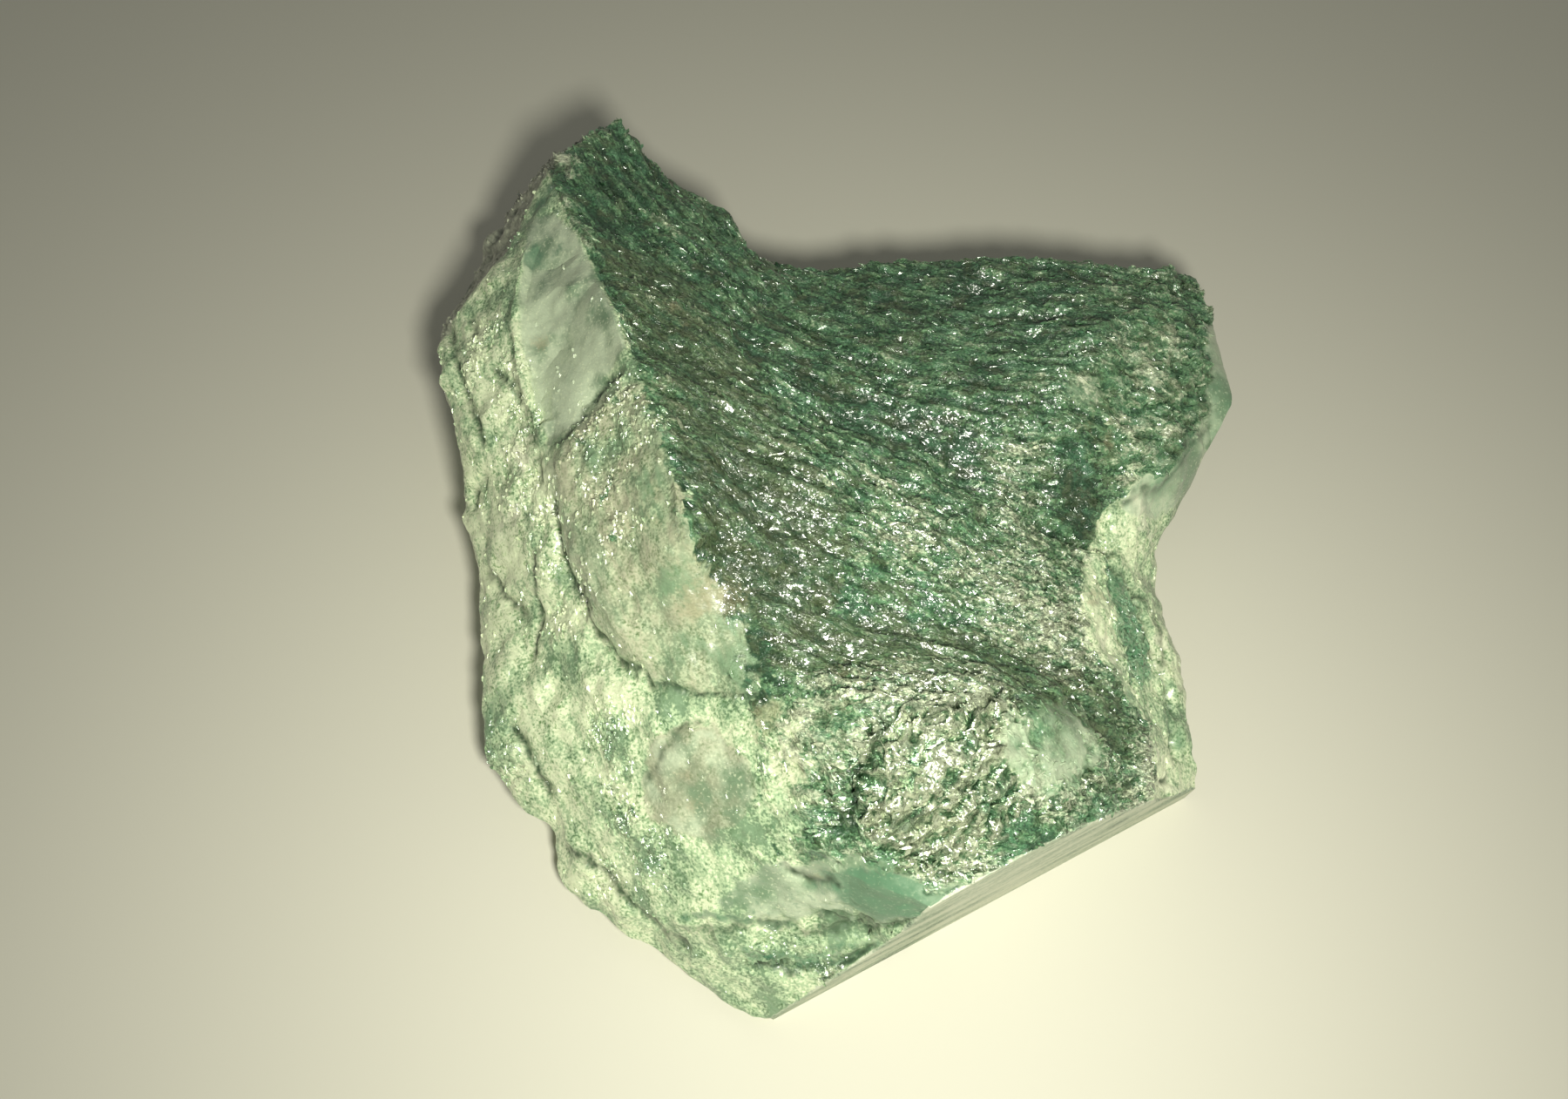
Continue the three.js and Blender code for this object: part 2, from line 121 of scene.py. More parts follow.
# The places on the stone, in millimetres seen from above.
places = {
    "pale": [(-60, 46), (-34.5, 41.5), (-32.5, 36.5), (-31, 32), (-28.5, 27), (-24.5, 17.5), (-21.5, 9),
        (-18.5, 0.5), (-16, -7.5), (-14.5, -13), (-11.5, -17), (-9, -21.5), (-8.5, -26), (-7, -30),
        (-6.5, -33.5), (-6, -37), (-6, -39.5), (-2, -40.5), (1, -42), (5, -43.5), (9, -44), (14, -62),
        (-60, -60)],
    "paleRight": [(62, 19), (46.5, 13), (45, 11.5), (38.5, 5.5), (35, 3), (32, 1.5), (30, -0.5), (28.5, -3),
        (27.5, -6), (26, -9.5), (25, -13.5), (25.5, -18), (29, -21), (31, -24), (32.5, -29), (31, -32),
        (42, -50), (62, -46)],
    "silky": [(29.5, -5.5), (32, -6.5), (34.5, -11), (35.5, -14.5), (35, -18), (32.5, -19), (30.5, -17),
        (30, -12.5)],
    "facet": [(-36, 34.5), (-32.5, 33), (-29.5, 28.5), (-27.5, 24), (-24.5, 16.5), (-22, 9.5), (-25, 7.5),
        (-28, 5), (-31, 3), (-32, 5.5), (-34, 11.5), (-35, 15.5), (-36, 21.5), (-36, 28.5)],
    "slab": [(-20, 5), (-17, -3), (-16, -7.5), (-14.5, -13), (-11.5, -17), (-9, -21.5), (-7.5, -25.5),
        (-11, -26.5), (-14, -25), (-17, -23.5), (-20, -22), (-23, -19), (-25, -16), (-27, -11.5),
        (-29, -5.5), (-30, -0.5), (-29, 2.5), (-25, 6)],
    "greyPatch": [(-19, -28.5), (-16, -27.5), (-12.5, -27.5), (-9.5, -31), (-8.5, -35), (-13, -37),
        (-17, -36), (-19.5, -33)],
    "knobPatch": [(14, -29), (17, -27), (21.5, -26), (24.5, -28), (24, -31), (21, -34), (17, -35.5),
        (13.5, -33)],
    "footFace": [(-11, -41), (-8.5, -40), (-5.5, -39.5), (-1, -40.5), (2.5, -41.5), (6.5, -42.5),
        (10.5, -43), (12, -44), (9, -45), (5, -44.8), (1.5, -44), (-3.5, -43.4), (-7.5, -43),
        (-12, -42.5)],
    "lens": [(-3, -40.7), (2.5, -41.5), (6.5, -42.5), (10.5, -43), (12, -44), (9, -45), (5, -44.8),
        (1, -43.8), (-2, -42.2)],
    "knobLeft": [(-7, -26), (-3.5, -27), (1, -28), (0, -32), (-1.5, -34.5), (-2.5, -37), (-4.5, -39),
        (-7, -38), (-7, -33)],
    "foil": [(0.5, -32), (2.5, -29.5), (8, -27), (14, -26.5), (16, -30), (16, -34.5), (13.5, -39),
        (9.5, -41.5), (5, -41.5), (1, -39), (0, -35.5)],
    "backFoil": [(26.5, 7), (29, 13), (33, 17.5), (36.5, 25.5), (41.5, 27.5), (45.5, 25), (46.5, 20),
        (45, 16), (41.5, 12), (38.5, 6.5), (36, 3), (32, 2.5), (28.5, 4)],
    "backWax": [(24.5, 12), (27, 13), (29.5, 12.5), (30, 10.5), (28, 8.5), (25.5, 8.5)],
    "middleFoil": [(-7.5, -6), (-1, -9), (6.5, -7), (15, -5.5), (24.5, -9), (24, -17.5), (16, -15.5),
        (8, -15.5), (-1, -16.5), (-7.5, -15)],
    "oliveBand": [(-7.5, -21.5), (-2.5, -19), (2.5, -17), (9.5, -17.5), (16.5, -19.5), (24, -20.5),
        (29, -22), (30.5, -27), (28.5, -29), (24.5, -28.5), (18, -27.5), (11.5, -26), (5.5, -25), (-1, -25),
        (-6, -25.5)],
    "oliveCrest": [(-27.5, 29), (-18, 27), (-10, 13), (-5, 1), (1, -10), (0, -17), (-5, -21.5), (-10, -20),
        (-14, -12.5), (-17, -0.5), (-21, 10)],
    "riser": [(-22, 7), (-25, 7.5), (-28, 5), (-31.5, 3.5), (-31, -1), (-30, -5), (-29, -8.5), (-27.5, -12),
        (-26.5, -15), (-24.5, -18), (-22.5, -20.5), (-20.5, -22), (-18.5, -23.5), (-15, -25),
        (-16.5, -23.5), (-19, -22), (-21, -20), (-22.5, -16), (-24, -10), (-26.5, -8), (-28.5, -5),
        (-29, -1), (-28, 2), (-25.5, 3), (-23, 4.5)],
    "glass": [(46, 12), (49, 16), (49, 26), (45.5, 26), (45.3, 21), (44.8, 17), (43.5, 13.5), (42.5, 11.5),
        (39.5, 7), (37, 4), (33, 2), (31, 0.5), (33, -1), (37, 1), (41, 4.5)],
    "greyRind": [(-60, 60), (-29, 55), (-31, 47), (-33.5, 42.5), (-37, 37.5), (-39.5, 31), (-43.5, 26),
        (-46.5, 22), (-60, 22)],
    "greyEdge": [(33.5, -4.5), (36.5, -7.5), (38, -11), (38.5, -15), (38.5, -18), (40, -22), (41, -28),
        (60, -28), (60, -4.5)],
}

# Lightness of the rock around a few places: (x, y, reach, lightness 0 to 1, or below 0 for very dark).
tones = [
    (-24, 36, 9, 0.28), (-17, 20, 9, 0.3), (-10, 5, 8, 0.3), (-10, -10, 5, -0.1), (-13, -14, 3, -0.05),
    (5, 15, 10, 0.22), (20, 24, 12, 0.2), (18, 30, 3, -0.15), (8, 30, 4, 0.0), (-11, 27, 4, 0.18),
    (34, 14, 8, 0.6), (40, 26, 6, 0.4), (30, 20, 3, -0.05), (29, 15, 3, 0.15), (26, 21, 3, 0.05),
    (-8, 13, 3, 0.05), (-2, 9.5, 3, -0.15), (3, 7, 3, -0.1), (7, 4, 3, -0.1), (12, 1, 6, 0.34),
    (-3, -8, 4, 0.2), (2, -4, 5, 0.42), (12, -10, 7, 0.5), (21, -13, 6, 0.66), (18, -17.5, 3, 1.1),
    (22, -20.5, 2.5, 0.65), (19, -3, 3, 1.0), (19, 1, 3, 0.85), (13, -4, 2.5, 0.4), (27, -1, 4, 0.0),
    (-2, -15.5, 3, 0.12), (4, -15.5, 3, 0.22), (-10, -21, 3, 0.05), (-2, -20, 3, 0.34), (4, -22, 4, 0.5),
    (6, -19, 3, 0.26), (10, -19, 3, 0.26), (16, -21, 4, 0.34), (26, -25, 4, 0.34), (20, -26, 2, 0.2),
    (19, -30, 3, 0.25), (-6, -31, 3, 0.9), (-2, -29, 3, 0.8), (-2, -35, 2.5, 0.75), (0.5, -35.5, 1.2, 0.25),
    (6, -30, 4, 0.9), (12, -28.5, 3, 1.0), (8, -32.5, 2.5, 0.65), (4, -39, 3.5, 0.95), (9, -37, 4, 0.8),
    (18.5, -34.5, 3.5, 0.9), (24.5, -33, 3, 0.65), (17.5, -39.5, 2.5, 0.2), (-39, 15, 5, 0.9),
    (-42, 25, 4, 0.75), (-34, -2, 4, 1.0), (-35, -14, 4, 0.8), (-30, -22, 6, 0.76), (-24, -28, 6, 0.7),
    (-24, 0, 5, 0.5), (-20, -12, 5, 0.42), (-13.5, -17.5, 3, -0.15), (-15, -22, 4, 0.25),
    (-33, 30, 4, 0.45), (-30, 20, 5, 0.5), (-27, 11, 4, 0.75), (-14, -31, 5, 0.3), (-8, -27, 2.5, 0.4),
    (-37, -24, 3, 0.25), (-6, -41.5, 4, 0.3), (2, -43.5, 4, 0.0), (-10, -47, 5, 0.36), (-2, -49, 4, 0.4),
    (-24, -38, 5, 0.65), (-17, -39, 4, 0.45), (28, -14, 4, 0.95), (34, 0, 4, 0.7), (30, -5, 3, 0.7),
    (40, 5, 4, 0.12), (44, 14, 3, 0.2), (38, -18, 4, 0.55), (31.5, -11, 2.5, 0.5), (33, -28, 3, 0.9),
    (37, -25, 3, 0.62),
]

# Spots of another colour, spots where small plates sparkle in the quartz, and spots of painted shade (shade)
# and painted highlight (shine): (x, y, reach).
spots = {
    "teal": [(-35, 27.5, 2.2), (-32, 28, 1.2), (-34.3, 28.3, 1.8), (-34.8, 36, 1.5), (-33.2, 38, 1.2),
        (-37, -20, 2.5), (-36.5, -25, 2), (-23.5, -27.5, 1.5), (-20, -38, 1.6), (-29.5, -10, 1.5),
        (26, 3, 3)],
    "cream": [(35, -28.2, 1.5), (36, -29, 1.2), (27, -6, 1.8), (35.5, -1, 2.2), (29, -17.5, 1.5),
        (37, -12, 1.2), (-31.5, 40.5, 1.8), (-32.5, 42.5, 1.2), (27.5, 11, 2.2), (33, 27.5, 1.2),
        (-34.5, 4, 2.5), (-35.5, -2.5, 3), (34, 0.5, 2), (28, -16, 2), (33, -27, 1.5), (13, -9, 2)],
    "brown": [(-7.5, -27.5, 2.2), (-10.5, -18, 2.5), (-14, -17.5, 3), (-19, -10, 3), (28.5, 6, 2.5),
        (-3, -40.3, 1.2), (-16, -32, 1.6), (-14.5, -34, 1.3), (27.5, -11.5, 1.2), (28, -14, 1.2),
        (0.5, -24.5, 2), (28, -10.5, 1.6), (-33, 16, 1.8), (-17, 18, 2.5)],
    "sparkle": [(-25.5, 1, 2.5), (-22.5, 4, 2.5), (-20.5, -0.5, 2), (-24, -4.5, 2.5), (-22, -11, 1.8),
        (-37.5, 14, 1.6), (-36, 10, 1.6), (-35, 5.5, 1.6), (-34, 0, 1.6), (-33, 8, 2), (-31.5, -3.5, 2),
        (-29.5, -8, 2.2), (-28.5, -13.5, 2), (-28, 5, 1.5), (-36.5, -25, 1.8), (-35, -27, 1.5),
        (-23.5, -26, 2.2), (-23, -30, 2), (-21.5, -34, 2), (-19, -37, 2), (-25, -38.5, 1.5), (32, -12, 2),
        (33.5, -16, 2), (-29.5, 11, 2), (-35, 14, 2), (-41.5, 15, 2), (-40, 18, 2), (30, -5, 2),
        (25, -22, 2), (-7.5, -46, 2), (-2.5, -48, 2)],
    # shade: painted shade in crevices and furrows; shine: painted highlights where folds flash
    "shade": [(1, -34, 0.9), (0.2, -36.5, 0.9), (-0.5, -38.3, 0.9), (5.5, -32.5, 1.1), (10.5, -29.5, 1.4),
        (13, -36, 1.5), (24, 0, 2.5), (27, -2, 2.2), (-8.5, -24, 1.6), (17.5, -38.5, 1.6), (22, -35.5, 1.5),
        (-4, -20, 2), (14, 4, 3)],
    "shine": [(3, -39.5, 2), (6.5, -40, 1.5), (4, -31, 1.5), (7.5, -33.5, 1.6), (12, -33, 1.5),
        (9, -38.5, 1.8), (5, -37, 1.5), (12.5, -26.5, 1.8), (33, 18, 1.6), (40.5, 22, 2), (37, 13.5, 2),
        (43.5, 17, 1.6), (32.5, 8, 2), (38, 8.5, 1.6), (36, 5, 1.5), (6, -9, 2.5), (14, -12, 2.5),
        (-1, -6, 2), (21, -15, 2)],
    "emerald": [(32, -9, 1.5), (33, -13.5, 1.8), (34.5, -18, 1.5), (38, -23, 1.5), (30.5, -21.5, 1.2),
        (36, 5, 2), (20.5, -37.5, 2.5), (24, -35, 2.2), (14, -39.5, 2.5), (12, -36, 1.5),
        (-5.5, -18.5, 1.8), (-9.5, -19, 1.5)],
}

# Cracks, grooves, small steps and dark green streaks, as lines seen from above: the kind, the height in mm
# (for a stain its strength), the width in mm and the line. A step raises the ground on its left.
breaks = {
    "stripEdge": ("step", 0.7, 0.45, [(-36.5, 23), (-36.5, 19.5), (-35.5, 13.5), (-34.5, 10.5),
        (-33.5, 7.5), (-32.5, 4.5), (-32, 2), (-31.5, -1)]),
    "slabHead": ("groove", 0.3, 0.6, [(-21, 7), (-24, 7.5), (-26.5, 6), (-27.5, 4.5), (-29, 3),
        (-31, 2.5)]),
    "outerCrack": ("groove", 0.8, 0.5, [(-46, 24), (-44, 17), (-42, 12), (-40.5, 8.5), (-39.5, 6)]),
    "rimCrack": ("groove", 0.6, 0.5, [(-43, 24), (-42, 21), (-41.5, 19)]),
    "stripCrack": ("groove", 0.6, 0.5, [(-39.5, 15), (-37, 12.5), (-34.5, 8.5)]),
    "shellRib": ("ridge", 0.22, 0.6, [(-31.5, 18.5), (-31, 20.5), (-29, 21), (-27, 21.5)]),
    "innerCrack": ("groove", 0.7, 0.5, [(-33, -6), (-32.5, -12.5), (-32.5, -15), (-33, -17.5)]),
    "leftNotch": ("groove", 1.0, 0.6, [(-39, 4), (-41, 4), (-42, 3.5), (-41.5, 1.5)]),
    "lobeNotch": ("groove", 0.8, 0.6, [(-40.5, -4), (-39, -6), (-37, -9), (-34, -12.5)]),
    "lobeFoot": ("groove", 0.7, 0.6, [(-36, -22.5), (-34, -24.5), (-32, -28), (-30.5, -31)]),
    "slabFoot": ("groove", 0.8, 0.45, [(-30.5, -2), (-29, -9), (-27, -13), (-25, -17.5), (-22.5, -20.5),
        (-19, -23), (-15.5, -24.5), (-14, -24)]),
    "greyRim": ("step", 0.3, 0.4, [(-13, -27), (-15, -27.5), (-16.5, -29), (-18.5, -30.5), (-18.5, -32.5)]),
    "slabCorner": ("groove", 0.35, 0.35, [(-16.5, -24), (-12, -25.5), (-9, -26), (-6, -27.5)]),
    "footRim": ("groove", 0.35, 0.35, [(-7, -39.5), (-4.5, -40.5), (-2.5, -41.5), (0, -42.5)]),
    "stripeLow": ("groove", 0.45, 0.45, [(-4, -48.8), (-2.5, -48.5), (-0.5, -47.5), (1, -47),
        (3.5, -45.8)]),
    "stainLeft": ("stain", 1.2, 0.5, [(-17.5, -43), (-13.5, -43), (-10, -43.5), (-7, -44), (-4, -44)]),
    "stainMiddle": ("stain", 1.0, 0.6, [(-11, -45.5), (-7.5, -46.5), (-3.5, -46.5), (0, -45.8), (4, -46)]),
    "stainFoot": ("stain", 1.2, 0.8, [(-6, -47.6), (-2.5, -46.8), (-0.5, -47), (2, -46.6), (4.5, -45.6)]),
    "rightRim": ("groove", 0.9, 0.5, [(33.5, -6), (35, -11.5), (36.5, -16), (37.5, -18.5), (37.5, -21.5)]),
    "stripeLeft": ("groove", 0.4, 0.5, [(-10.5, -46.8), (-9.5, -47), (-6, -47.5), (-3.5, -48.5)]),
    "seamLeft": ("step", 0.6, 0.6, [(-17, -43.5), (-12.5, -44), (-11, -43.5), (-8.5, -43), (-3.5, -43.5)]),
    "seamRight": ("groove", 0.7, 0.45, [(-3.5, -43.5), (1, -44.5), (3.5, -45), (6.5, -45), (10.5, -42.5)]),
    "seamLow": ("step", 0.4, 0.4, [(3, -45), (-1.5, -45), (-6.5, -45)]),
    "seamFoot": ("step", 0.5, 0.4, [(2.5, -46.5), (-2, -47.5), (-4, -48), (-8.5, -47)]),
    "faceRim": ("ridge", 0.25, 0.4, [(-10, -40), (-7, -40), (-5.5, -39.5), (-4, -39.5)]),
    "footLayer": ("groove", 0.6, 0.6, [(-30, -34.5), (-27, -36.5), (-24.5, -38), (-20.5, -42), (-15, -46)]),
    "rightCrack": ("groove", 0.9, 0.5, [(20, -3), (23, -4.5), (25.5, -5), (27.5, -5), (30, -4.5),
        (33, -3.5)]),
    "rightStrip": ("step", 0.6, 0.5, [(29, -5), (33, -6.5), (36, -7.5), (37.5, -11), (37.5, -14),
        (37, -17.5)]),
    "rightGroove": ("groove", 0.8, 0.5, [(29.5, -19.5), (31, -20), (32.5, -21.5), (33.5, -24)]),
    "rightSeam": ("groove", 0.8, 0.45, [(36.5, -19), (36.5, -21.5), (37, -24), (37.5, -26)]),
    "cornerCrack": ("groove", 0.8, 0.5, [(33, -30), (35.5, -28), (36, -26.5)]),
    "glassEdge": ("step", 0.5, 0.4, [(29.5, -0.5), (33, 1.5), (37, 3.5), (39.5, 6.5), (42.5, 11),
        (44.5, 13.5)]),
    "middleGroove": ("groove", 0.5, 1.0, [(5.5, 7.5), (9, 4.5), (12.5, 2), (14.5, 0)]),
    "knobLimb": ("groove", 0.9, 1.0, [(3, -28.5), (2, -31.5), (1, -34.5), (0, -37), (-1.5, -39)]),
    "knobCrack": ("groove", 0.5, 0.3, [(7.5, -35), (8.5, -35.5), (10, -36), (11, -35.5), (12, -34.5)]),
}

stoneShape = {
    "topEdge": 0.66,  # longest mesh edge on the broken top, mm
    "paleEdge": 0.74,  # longest mesh edge on the pale flank, mm
    "sideEdge": 1.6,  # longest mesh edge elsewhere, mm
    # areas with a finer mesh: their middle, half their widths and the longest mesh edge in them, mm
    "fineAreas": [(8, -34.5, 10.5, 10.5, 0.27), (12, -13, 16, 10, 0.4), (34, -14, 6, 16, 0.36),
                  (2, -44.5, 12, 4, 0.38), (-34, 8, 4, 12, 0.45), (-25, -14, 5, 14, 0.5)],
    "crispAngle": 24,  # edges sharper than this stay crisp, degrees
    "cutPlace": [40.1, -27.8, 0.0],  # a point of the saw cut, mm
    "cutFacing": [0.448, -0.894, 0.0],  # the way the saw cut faces
    "bendCentre": (33, 85),  # the mica's layers bend around this point of the plan, mm
    "bendRadius": 65,  # and mostly run this far from it, mm
    "flankTurn": -72,  # direction of the layers in the pale flank, degrees
    # relief: heights in mm, and lengths along the layers, across them and upwards in mm
    "lumpHeight": 0.3,  # rounded lumps
    "lumpSize": 3.6,
    "waveHeight": 0.55,  # long waves of the layers
    "waveSizes": [7.0, 2.6, 2.6],
    "ridgeHeight": 0.28,  # fine ridges along the layers, in two sizes
    "ridgeSizes": [6.0, 1.3, 1.8],
    "fineRidgeSizes": [3.2, 0.8, 1.2],
    "crumpleHeight": 0.85,  # folds on the knob
    "crumpleSize": 2.1,
    "crumpleStretch": [2.4, 1.0, 1.0],
    "crumpleTurn": 48,  # their direction, degrees
    "satinHeight": 0.75,  # smaller folds in the rest of the mica
    "satinSizes": [3.8, 1.6, 1.7],
    "backSatinSizes": [5.0, 2.1, 2.1],
    "plateHeight": 0.3,  # the usual plates: share of their full tilt
    "plateSize": 1.3,
    "plateStretch": [1.8, 0.9, 1.0],
    "plateLean": -0.7,  # how much they overlap like shingles
}


def refineMesh(bm, coarsest):
    # halves long edges until the top is fine enough
    for _ in range(6):
        bm.normal_update()
        longEdges = []
        for edge in bm.edges:
            x, y = edge.verts[0].co.x / mm, edge.verts[0].co.y / mm
            limit = stoneShape["paleEdge"] if x < -12 - 0.4 * y else stoneShape["topEdge"]
            for middleX, middleY, halfX, halfY, fineEdge in stoneShape["fineAreas"]:
                if math.hypot((x - middleX) / halfX, (y - middleY) / halfY) < 1:
                    limit = min(limit, fineEdge)
            limit = max(limit, coarsest)
            if max(face.normal.z for face in edge.link_faces) < 0.12:
                limit = max(stoneShape["sideEdge"], 2 * coarsest)
            if edge.calc_length() > limit * mm:
                longEdges.append(edge)
        if not longEdges:
            break
        bmesh.ops.subdivide_edges(bm, edges=longEdges, cuts=1)
        bmesh.ops.triangulate(bm, faces=[face for face in bm.faces if len(face.verts) > 3])


def readMesh(items, key, width, kind=float):
    # one row of values for each vertex or edge
    values = np.empty(len(items) * width, kind)
    items.foreach_get(key, values)
    return values.reshape(-1, width)


def smoothPoints(points, pairs, share, rounds):
    # share says how far each point moves to the middle of its neighbours
    count = np.bincount(pairs.ravel(), minlength=len(points))
    for _ in range(rounds):
        total = np.zeros_like(points)
        for axis in range(3):
            total[:, axis] = np.bincount(pairs[:, 0], points[pairs[:, 1], axis], len(points))
            total[:, axis] += np.bincount(pairs[:, 1], points[pairs[:, 0], axis], len(points))
        points = points + share[:, None] * (total / count[:, None] - points)
    return points


print("stone: refining the broken surface")
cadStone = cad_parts["fuchsite_stone"]
bm = bmesh.new()
bm.from_mesh(cadStone.data)
bmesh.ops.remove_doubles(bm, verts=bm.verts, dist=1e-6)
for edge in bm.edges:
    edge.smooth = edge.calc_face_angle(0) < math.radians(stoneShape["crispAngle"])
cutPoint = np.array(stoneShape["cutPlace"])
cutNormal = np.array(stoneShape["cutFacing"])
cutNormal /= np.linalg.norm(cutNormal)
stoneMesh = bpy.data.meshes.new("fuchsite")
for coarsest, rounds in ((1.2, 3), (0.0, 2)):
    refineMesh(bm, coarsest)
    crisp = np.array([not all(edge.smooth for edge in vert.link_edges) for vert in bm.verts])
    bm.to_mesh(stoneMesh)
    points = readMesh(stoneMesh.vertices, "co", 3) / mm
    onCut = (points - cutPoint) @ cutNormal > -0.15
    onRest = points[:, 2] < 0.05
    share = np.where(crisp, 0.14, 0.5)
    share[onCut | onRest] = 0
    points = smoothPoints(points, readMesh(stoneMesh.edges, "vertices", 2, int), share, rounds)
    for vert, point in zip(bm.verts, points):
        vert.co = point * mm
bm.to_mesh(stoneMesh)
bm.free()
pairs = readMesh(stoneMesh.edges, "vertices", 2, int)
normals = readMesh(stoneMesh.vertex_normals, "vector", 3)
print("  triangles", len(stoneMesh.polygons))

print("stone: placing its zones")
# borders wander and fray, but the facet's edge along the crest is clean
ragged = 1 - 0.9 * smoothStep(6, 9, points[:, 1]) * smoothStep(-17, -20, points[:, 0])
wander = shiftBy(points, 3.0, 100, 3) * [1, 1, 0]
fray = shiftBy(points, 0.9, 160) * [1, 1, 0]
placed = points + (0.9 * wander + 0.45 * fray) * ragged[:, None]
zone = {name: smoothStep(-0.5, 0.5, outlineDistance(placed, outline)) for name, outline in places.items()}
upward = smoothStep(-0.1, 0.25, normals[:, 2])
sawn = np.where(onCut, 1.0, 0.0)
# below the slab the two rocks mix over a few millimetres
mixing = smoothStep(-20, -24, points[:, 1]) * smoothStep(-41, -38, points[:, 1])
crestDistance = outlineDistance(placed, places["pale"])
crestDistance += (0.9 * ragged + 2.4 * mixing) * fractal(points / 1.6, 210, 3)
border = 0.2 + 0.9 * ragged + 2.2 * mixing
pale = smoothStep(-border, border, crestDistance)
pale = clamp01(pale + zone["paleRight"] - 0.45 * zone["silky"] + 0.35 * zone["knobLeft"])
softly = smoothStep(-0.5, 0.6, fractal(points / 2.2, 230, 3))
waxy = clamp01(zone["facet"] + zone["footFace"] + 0.4 * zone["riser"] + zone["glass"] + 0.45 * zone["backWax"]
               + (0.35 + 0.4 * softly) * np.maximum(zone["greyPatch"], zone["knobPatch"])) * upward
foil = zone["foil"] * (1 - waxy)
folded = clamp01(zone["backFoil"] + 0.7 * zone["middleFoil"])
emerald = np.exp(-(np.maximum(crestDistance, 0) / 2.6) ** 2) * smoothStep(-1, 0.5, crestDistance) * ragged
emerald = clamp01(0.55 * emerald * smoothStep(-0.3, 0.4, wander[:, 0]) * (1 - mixing) + 0.7 * zone["silky"]
                  + 0.4 * zone["knobPatch"] + 0.5 * zone["glass"])
olive = clamp01(0.75 * zone["oliveBand"] + 0.35 * zone["knobLeft"] + 0.75 * zone["oliveCrest"]
                + 0.5 * zone["slab"] + 0.85 * zone["greyPatch"])
grey = clamp01(zone["greyRind"] + 0.45 * zone["greyEdge"])


def nearness(x, y, reach):
    # 1 at a place of the plan, fading out over its reach
    return np.exp(-((placed[:, 0] - x) ** 2 + (placed[:, 1] - y) ** 2) / reach ** 2)


def spotMask(name):
    # how far each point lies in one of the named spots
    return clamp01(np.max([nearness(*spot) for spot in spots[name]], axis=0) * (0.8 + 0.9 * wander[:, 1]))


teal, cream, brown, glitter = (spotMask(name) for name in ("teal", "cream", "brown", "sparkle"))
emerald = clamp01(emerald + 0.8 * spotMask("emerald"))
weights = [nearness(*spot) + 1e-9 for *spot, _ in tones]
tone = sum(weight * light for weight, (*_, light) in zip(weights, tones)) / sum(weights)
tone = tone + (0.2 + 0.15 * pale) * fractal(points / 4.5, 61, 3)
# the shine spots are painted highlights and the shade spots painted shade
tone = np.clip(tone + 0.3 * spotMask("shine") - 0.35 * spotMask("shade"), -0.3, 1.1)
clusters = smoothStep(-0.3, 0.5, fractal(points / 1.3, 250, 2))
pale = clamp01(pale - 0.7 * glitter * clusters * np.where(pale > 0.5, 1, 0) * (1 - waxy))
sheen = smoothStep(0.25, 0.7, tone)  # bright mica is crumpled, dark mica lies flatter


def turned(points, degrees):
    # the points in axes that run along a direction of the plan and across it
    c, s = math.cos(math.radians(degrees)), math.sin(math.radians(degrees))
    return np.stack([points[:, 0] * c + points[:, 1] * s, points[:, 1] * c - points[:, 0] * s, points[:, 2]],
                    axis=1)


# distances along and across the layers, which bend in the mica and run straight in the pale flank
fromCentre = points[:, :2] - np.array(stoneShape["bendCentre"])
sweep = np.arctan2(fromCentre[:, 0], -fromCentre[:, 1])
turns = np.linspace(-math.pi, math.pi, 721)
needles = 1 + 1.6 * smoothStep(math.radians(-20), math.radians(-34), turns)
lengths = np.cumsum(stoneShape["bendRadius"] * (turns[1] - turns[0]) / needles)
bent = np.stack([np.interp(sweep, turns, lengths), np.linalg.norm(fromCentre, axis=1), points[:, 2]], axis=1)
straight = turned(points, stoneShape["flankTurn"])


def alongLayers(relief):
    return relief(bent) * (1 - pale) + relief(straight) * pale


def breakLine(points, line):
    # distance to a line, its side (1 on the left) and a factor that fades out at both ends
    nearest = np.full(len(points), 1e9)
    side = np.zeros(len(points))
    runs = np.zeros(len(points))
    travelled = 0.0
    for a, b in zip(line, line[1:]):
        distance, along = fromStretch(points, a, b)
        cross = (b[0] - a[0]) * (points[:, 1] - a[1]) - (b[1] - a[1]) * (points[:, 0] - a[0])
        nearer = distance < nearest
        nearest = np.where(nearer, distance, nearest)
        side = np.where(nearer, np.sign(cross), side)
        runs = np.where(nearer, travelled + along * math.dist(a, b), runs)
        travelled += math.dist(a, b)
    return nearest, side, smoothStep(0, 1.5, runs) * smoothStep(0, 1.5, travelled - runs)


print("stone: raising plates, ridges and cracks")
quiet = (1 - 0.85 * waxy) * (1 - sawn)
mica = (1 - pale) * (1 - waxy)
facing = 0.3 + 0.7 * smoothStep(0.1, 0.6, normals[:, 2])  # the edges of the stone stay even
waves = alongLayers(lambda flow: fractal(flow / stoneShape["waveSizes"], 15, 2))
ridges, fineRidges = (
    alongLayers(lambda flow: 0.6 - 2.4 * np.abs(perlin(flow / stoneShape[sizes], seed)))
    for sizes, seed in (("ridgeSizes", 5), ("fineRidgeSizes", 9)))
swirl = 0.8 * shiftBy(points, 2.2, 31, 2)


def creased(place, seed, fine):
    # plates folded like foil: rounded crests with sharp valleys, and the other way round at half the size
    return (np.abs(perlin(place, seed)) - 0.45 * np.abs(perlin(place * 1.9 + 5, seed + 10))
            + fine * np.abs(perlin(place * 3.9, seed + 20)) - 0.15)


